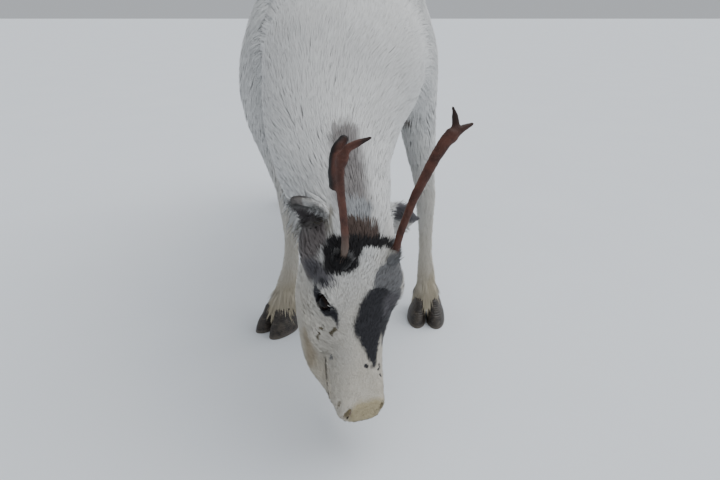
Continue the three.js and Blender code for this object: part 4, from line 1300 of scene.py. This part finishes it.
def grow_mane():
    rng = np.random.default_rng(21)
    share = rng.uniform(MANE_FIRST, MANE_LAST, MANE_LOCKS)
    spread = rng.uniform(-1, 1, MANE_LOCKS)
    centre, girth, along, across, ahead = neck.rings(share * (len(neck.centres) - 1))
    turn = -np.pi / 2 + spread * MANE_SWEEP
    cos, sin = np.cos(turn), np.sin(turn)
    outs = across * cos[:, None] + ahead * sin[:, None]
    narrow = 1 - neck.pinch * np.maximum(0, -sin)
    roots = centre + across * (girth[:, 0] * narrow * cos)[:, None]
    roots += ahead * (girth[:, 2] * sin)[:, None] - outs * MANE_DEEP
    headings = outs * 0.7 + along * 0.8 + DOWN * 0.4
    length = LOCK_LENGTH * (1 - 0.45 * np.abs(spread)) * rng.uniform(0.8, 1.12, MANE_LOCKS)
    roots, outs, headings, length = (np.repeat(rows, LOCK_HAIRS, axis=0)
                                     for rows in (roots, outs, headings, length))
    count = len(roots)
    roots = roots + rng.normal(size=(count, 3)) * LOCK_SPREAD
    headings = headings + rng.normal(size=(count, 3)) * 0.06
    faces_to = unit(outs * (1, 1, 0.2) - DOWN * 0.35)
    return hang_hair("mane", roots, outs, headings, length * rng.uniform(0.8, 1.06, count), 0.26, (2.0, 3.4),
                     (0.7, 1.0, 0.9, 0.5), neck_map, rng, faces_to)


grow_mane()

# The hair over the hooves, round the antlers and in the ears
# Long hair falls from each pastern over the claws, a collar of hair stands up round the foot of each antler,
# and a soft fringe fills each ear's cup.
SKIRT_HAIRS = 700
SKIRT_FROM, SKIRT_TO = 46, 84
COLLAR_HAIRS = 650
EAR_HAIRS = 1100
SKIRT_RNG, COLLAR_RNG, EAR_RNG = (np.random.default_rng(seed) for seed in (41, 51, 61))


def grow_skirt(name, leg, rng):
    heights = rng.uniform(SKIRT_FROM, SKIRT_TO, SKIRT_HAIRS)
    places = np.interp(-heights, -leg.centres[:, 2], np.arange(len(leg.centres)))
    centre, girth, along, across, ahead = leg.rings(places)
    turn = rng.uniform(0, 2 * np.pi, SKIRT_HAIRS)
    cos, sin = np.cos(turn)[:, None], np.sin(turn)[:, None]
    reach = np.where(sin > 0, girth[:, 1:2], girth[:, 2:3])
    roots = centre + across * (girth[:, :1] - 4) * cos + ahead * (reach - 4) * sin
    outs = unit(across * cos + ahead * sin)
    headings = along + outs * rng.uniform(0.35, 0.75, SKIRT_HAIRS)[:, None]
    headings = headings + rng.normal(size=(SKIRT_HAIRS, 3)) * 0.06
    return hang_hair("skirt_" + name, roots, outs, headings, rng.uniform(22, 36, SKIRT_HAIRS), 0.12,
                     (1.1, 1.9), (0.7, 1.0, 0.6), unwrap_round(leg), rng)


def grow_collar(which, rng):
    foot, above = (np.array(row[:3], float) for row in ANTLERS[which]["beam"][:2])
    rise = unit(above - foot)
    flat = unit(np.cross(rise, (1, 0, 0)))
    turn = rng.uniform(0, 2 * np.pi, COLLAR_HAIRS)[:, None]
    ring = flat * np.cos(turn) + np.cross(rise, flat) * np.sin(turn)
    inner = foot + rise * 8 + ring * rng.uniform(6, 15, COLLAR_HAIRS)[:, None]
    roots = settle(out_of_head(inner), hide_gap, 3)
    outs = unit(ring + rise * 0.3) @ HEAD_AXES
    headings = (rise + ring * rng.uniform(-0.25, 0.2, COLLAR_HAIRS)[:, None]) @ HEAD_AXES
    headings = headings + rng.normal(size=(COLLAR_HAIRS, 3)) * 0.1
    return hang_hair("collar_" + which, roots, outs, headings, rng.uniform(12, 24, COLLAR_HAIRS), 0.05,
                     (0.8, 1.3), (0.8, 1.0, 0.6), face_map, rng)


def grow_ear_fringe(which, shell, rng):
    root, tip, opens = (np.array(v, float) for v in EARS[which])
    reach = unit(tip - root)
    share = (cut_head - root) @ reach / np.linalg.norm(tip - root)
    facing = unit(cut_cross) @ (square_to(opens, reach) @ HEAD_AXES)
    in_cup = on_ear & (shell.gap(cut_head) < 3) & (facing > -0.1) & (share < 0.75) & (share > -0.1)
    roots, outs, _, _ = sow(in_cup, EAR_HAIRS, rng)
    headings = outs * 0.7 + reach @ HEAD_AXES * rng.uniform(0.4, 1.0, EAR_HAIRS)[:, None]
    headings += rng.normal(size=(EAR_HAIRS, 3)) * 0.15
    return hang_hair("ear_fringe_" + which, roots, outs, headings, rng.uniform(5, 13, EAR_HAIRS), 0.06,
                     (0.6, 1.0), (0.8, 1.0, 0.6), ear_map, rng, seat_at=2)


for name, leg in legs.items():
    grow_skirt(name, leg, SKIRT_RNG)
for which in ANTLERS:
    grow_collar(which, COLLAR_RNG)
for which, (shell, _) in ears.items():
    grow_ear_fringe(which, shell, EAR_RNG)

# The tail
# A short flat tail with a fringe of hair all round it, longest at the tip.
TAIL_HAIRS = 1300
TAIL_FROM, TAIL_TO = 640, 742
TAIL_BACK, TAIL_DEEP, TAIL_HALF = 40, 9, 17


def grow_tail():
    rng = np.random.default_rng(31)
    turn = rng.uniform(0, 2 * np.pi, TAIL_HAIRS)
    outs = TRUNK_LEFT * np.cos(turn)[:, None] + TRUNK_AXIS * np.sin(turn)[:, None]
    height = rng.uniform(TAIL_FROM, TAIL_TO, TAIL_HAIRS)
    roots = TAIL_ROOT + TRUNK_AXIS * (TAIL_BACK + TAIL_DEEP * np.sin(turn))[:, None]
    roots = roots + TRUNK_LEFT * (TAIL_HALF * np.cos(turn))[:, None]
    roots[:, 2] = height
    headings = outs * 0.16 + DOWN + rng.normal(size=(TAIL_HAIRS, 3)) * 0.07
    return hang_hair("tail_fringe", roots, outs, headings, rng.uniform(55, 80, TAIL_HAIRS), 0.1, (1.6, 2.8),
                     (0.6, 1.0, 0.8, 0.4), unwrap_round(tail), rng, unit(outs - DOWN * 0.3))


grow_tail()

# The studio
# A plain pale floor under one broad soft light from above and behind the left shoulder. The camera is at a
# standing person's waist, a pace ahead of the nose, and looks down.
FLOOR_HALF = 30
FLOOR_CORNERS = ((-1, -1), (1, -1), (1, 1), (-1, 1))
floor_mesh = bpy.data.meshes.new("floor")
floor_mesh.from_pydata([(x * FLOOR_HALF, y * FLOOR_HALF, 0) for x, y in FLOOR_CORNERS], [], [(0, 1, 2, 3)])
floor = put("floor", floor_mesh)
floor_paint, nodes, shader = new_material("floor_paint", 0.7, specular_ior_level=0.2)
floor_tone = nodes.noise(nodes.here(), 3, 3)
link(nodes, nodes.mix(floor_tone, (0.76, 0.79, 0.83), (0.8, 0.83, 0.86)), shader, "Base Color")
floor.data.materials.append(floor_paint)
floor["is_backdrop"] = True

SKY_FROM = (1.1, 0.5, 2.4)
SKY_STRENGTH = 2.5
SKY_WIDTH = 75
HAZE_STRENGTH = 0.55
sky = put("sky", bpy.data.lights.new("sky", "SUN"))
sky.rotation_euler = Vector(SKY_FROM).to_track_quat("Z", "Y").to_euler()
sky.data.energy = SKY_STRENGTH
sky.data.angle = np.radians(SKY_WIDTH)
sky.data.color = (0.98, 0.99, 1.0)

world = bpy.data.worlds.new("studio")
bpy.context.scene.world = world
world.use_nodes = True
haze = world.node_tree.nodes["Background"].inputs
haze["Color"].default_value = (0.86, 0.9, 0.95, 1)
haze["Strength"].default_value = HAZE_STRENGTH

CAMERA_AT = np.array([0, 0, 665])
CAMERA_PITCH = 23.5
camera = put("camera", bpy.data.cameras.new("camera"))
camera.location = CAMERA_AT * MM + ORIGIN
camera.rotation_euler = (np.radians(90 - CAMERA_PITCH), 0, 0)
camera.data.lens = 27
camera.data.sensor_width = 36
camera.data.clip_start = 0.05
bpy.context.scene.camera = camera

visual_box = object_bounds()
boxes = {name: [list(map(float, corner)) for corner in box] for name, box in
         (("cad", cad_box), ("visual", visual_box))}
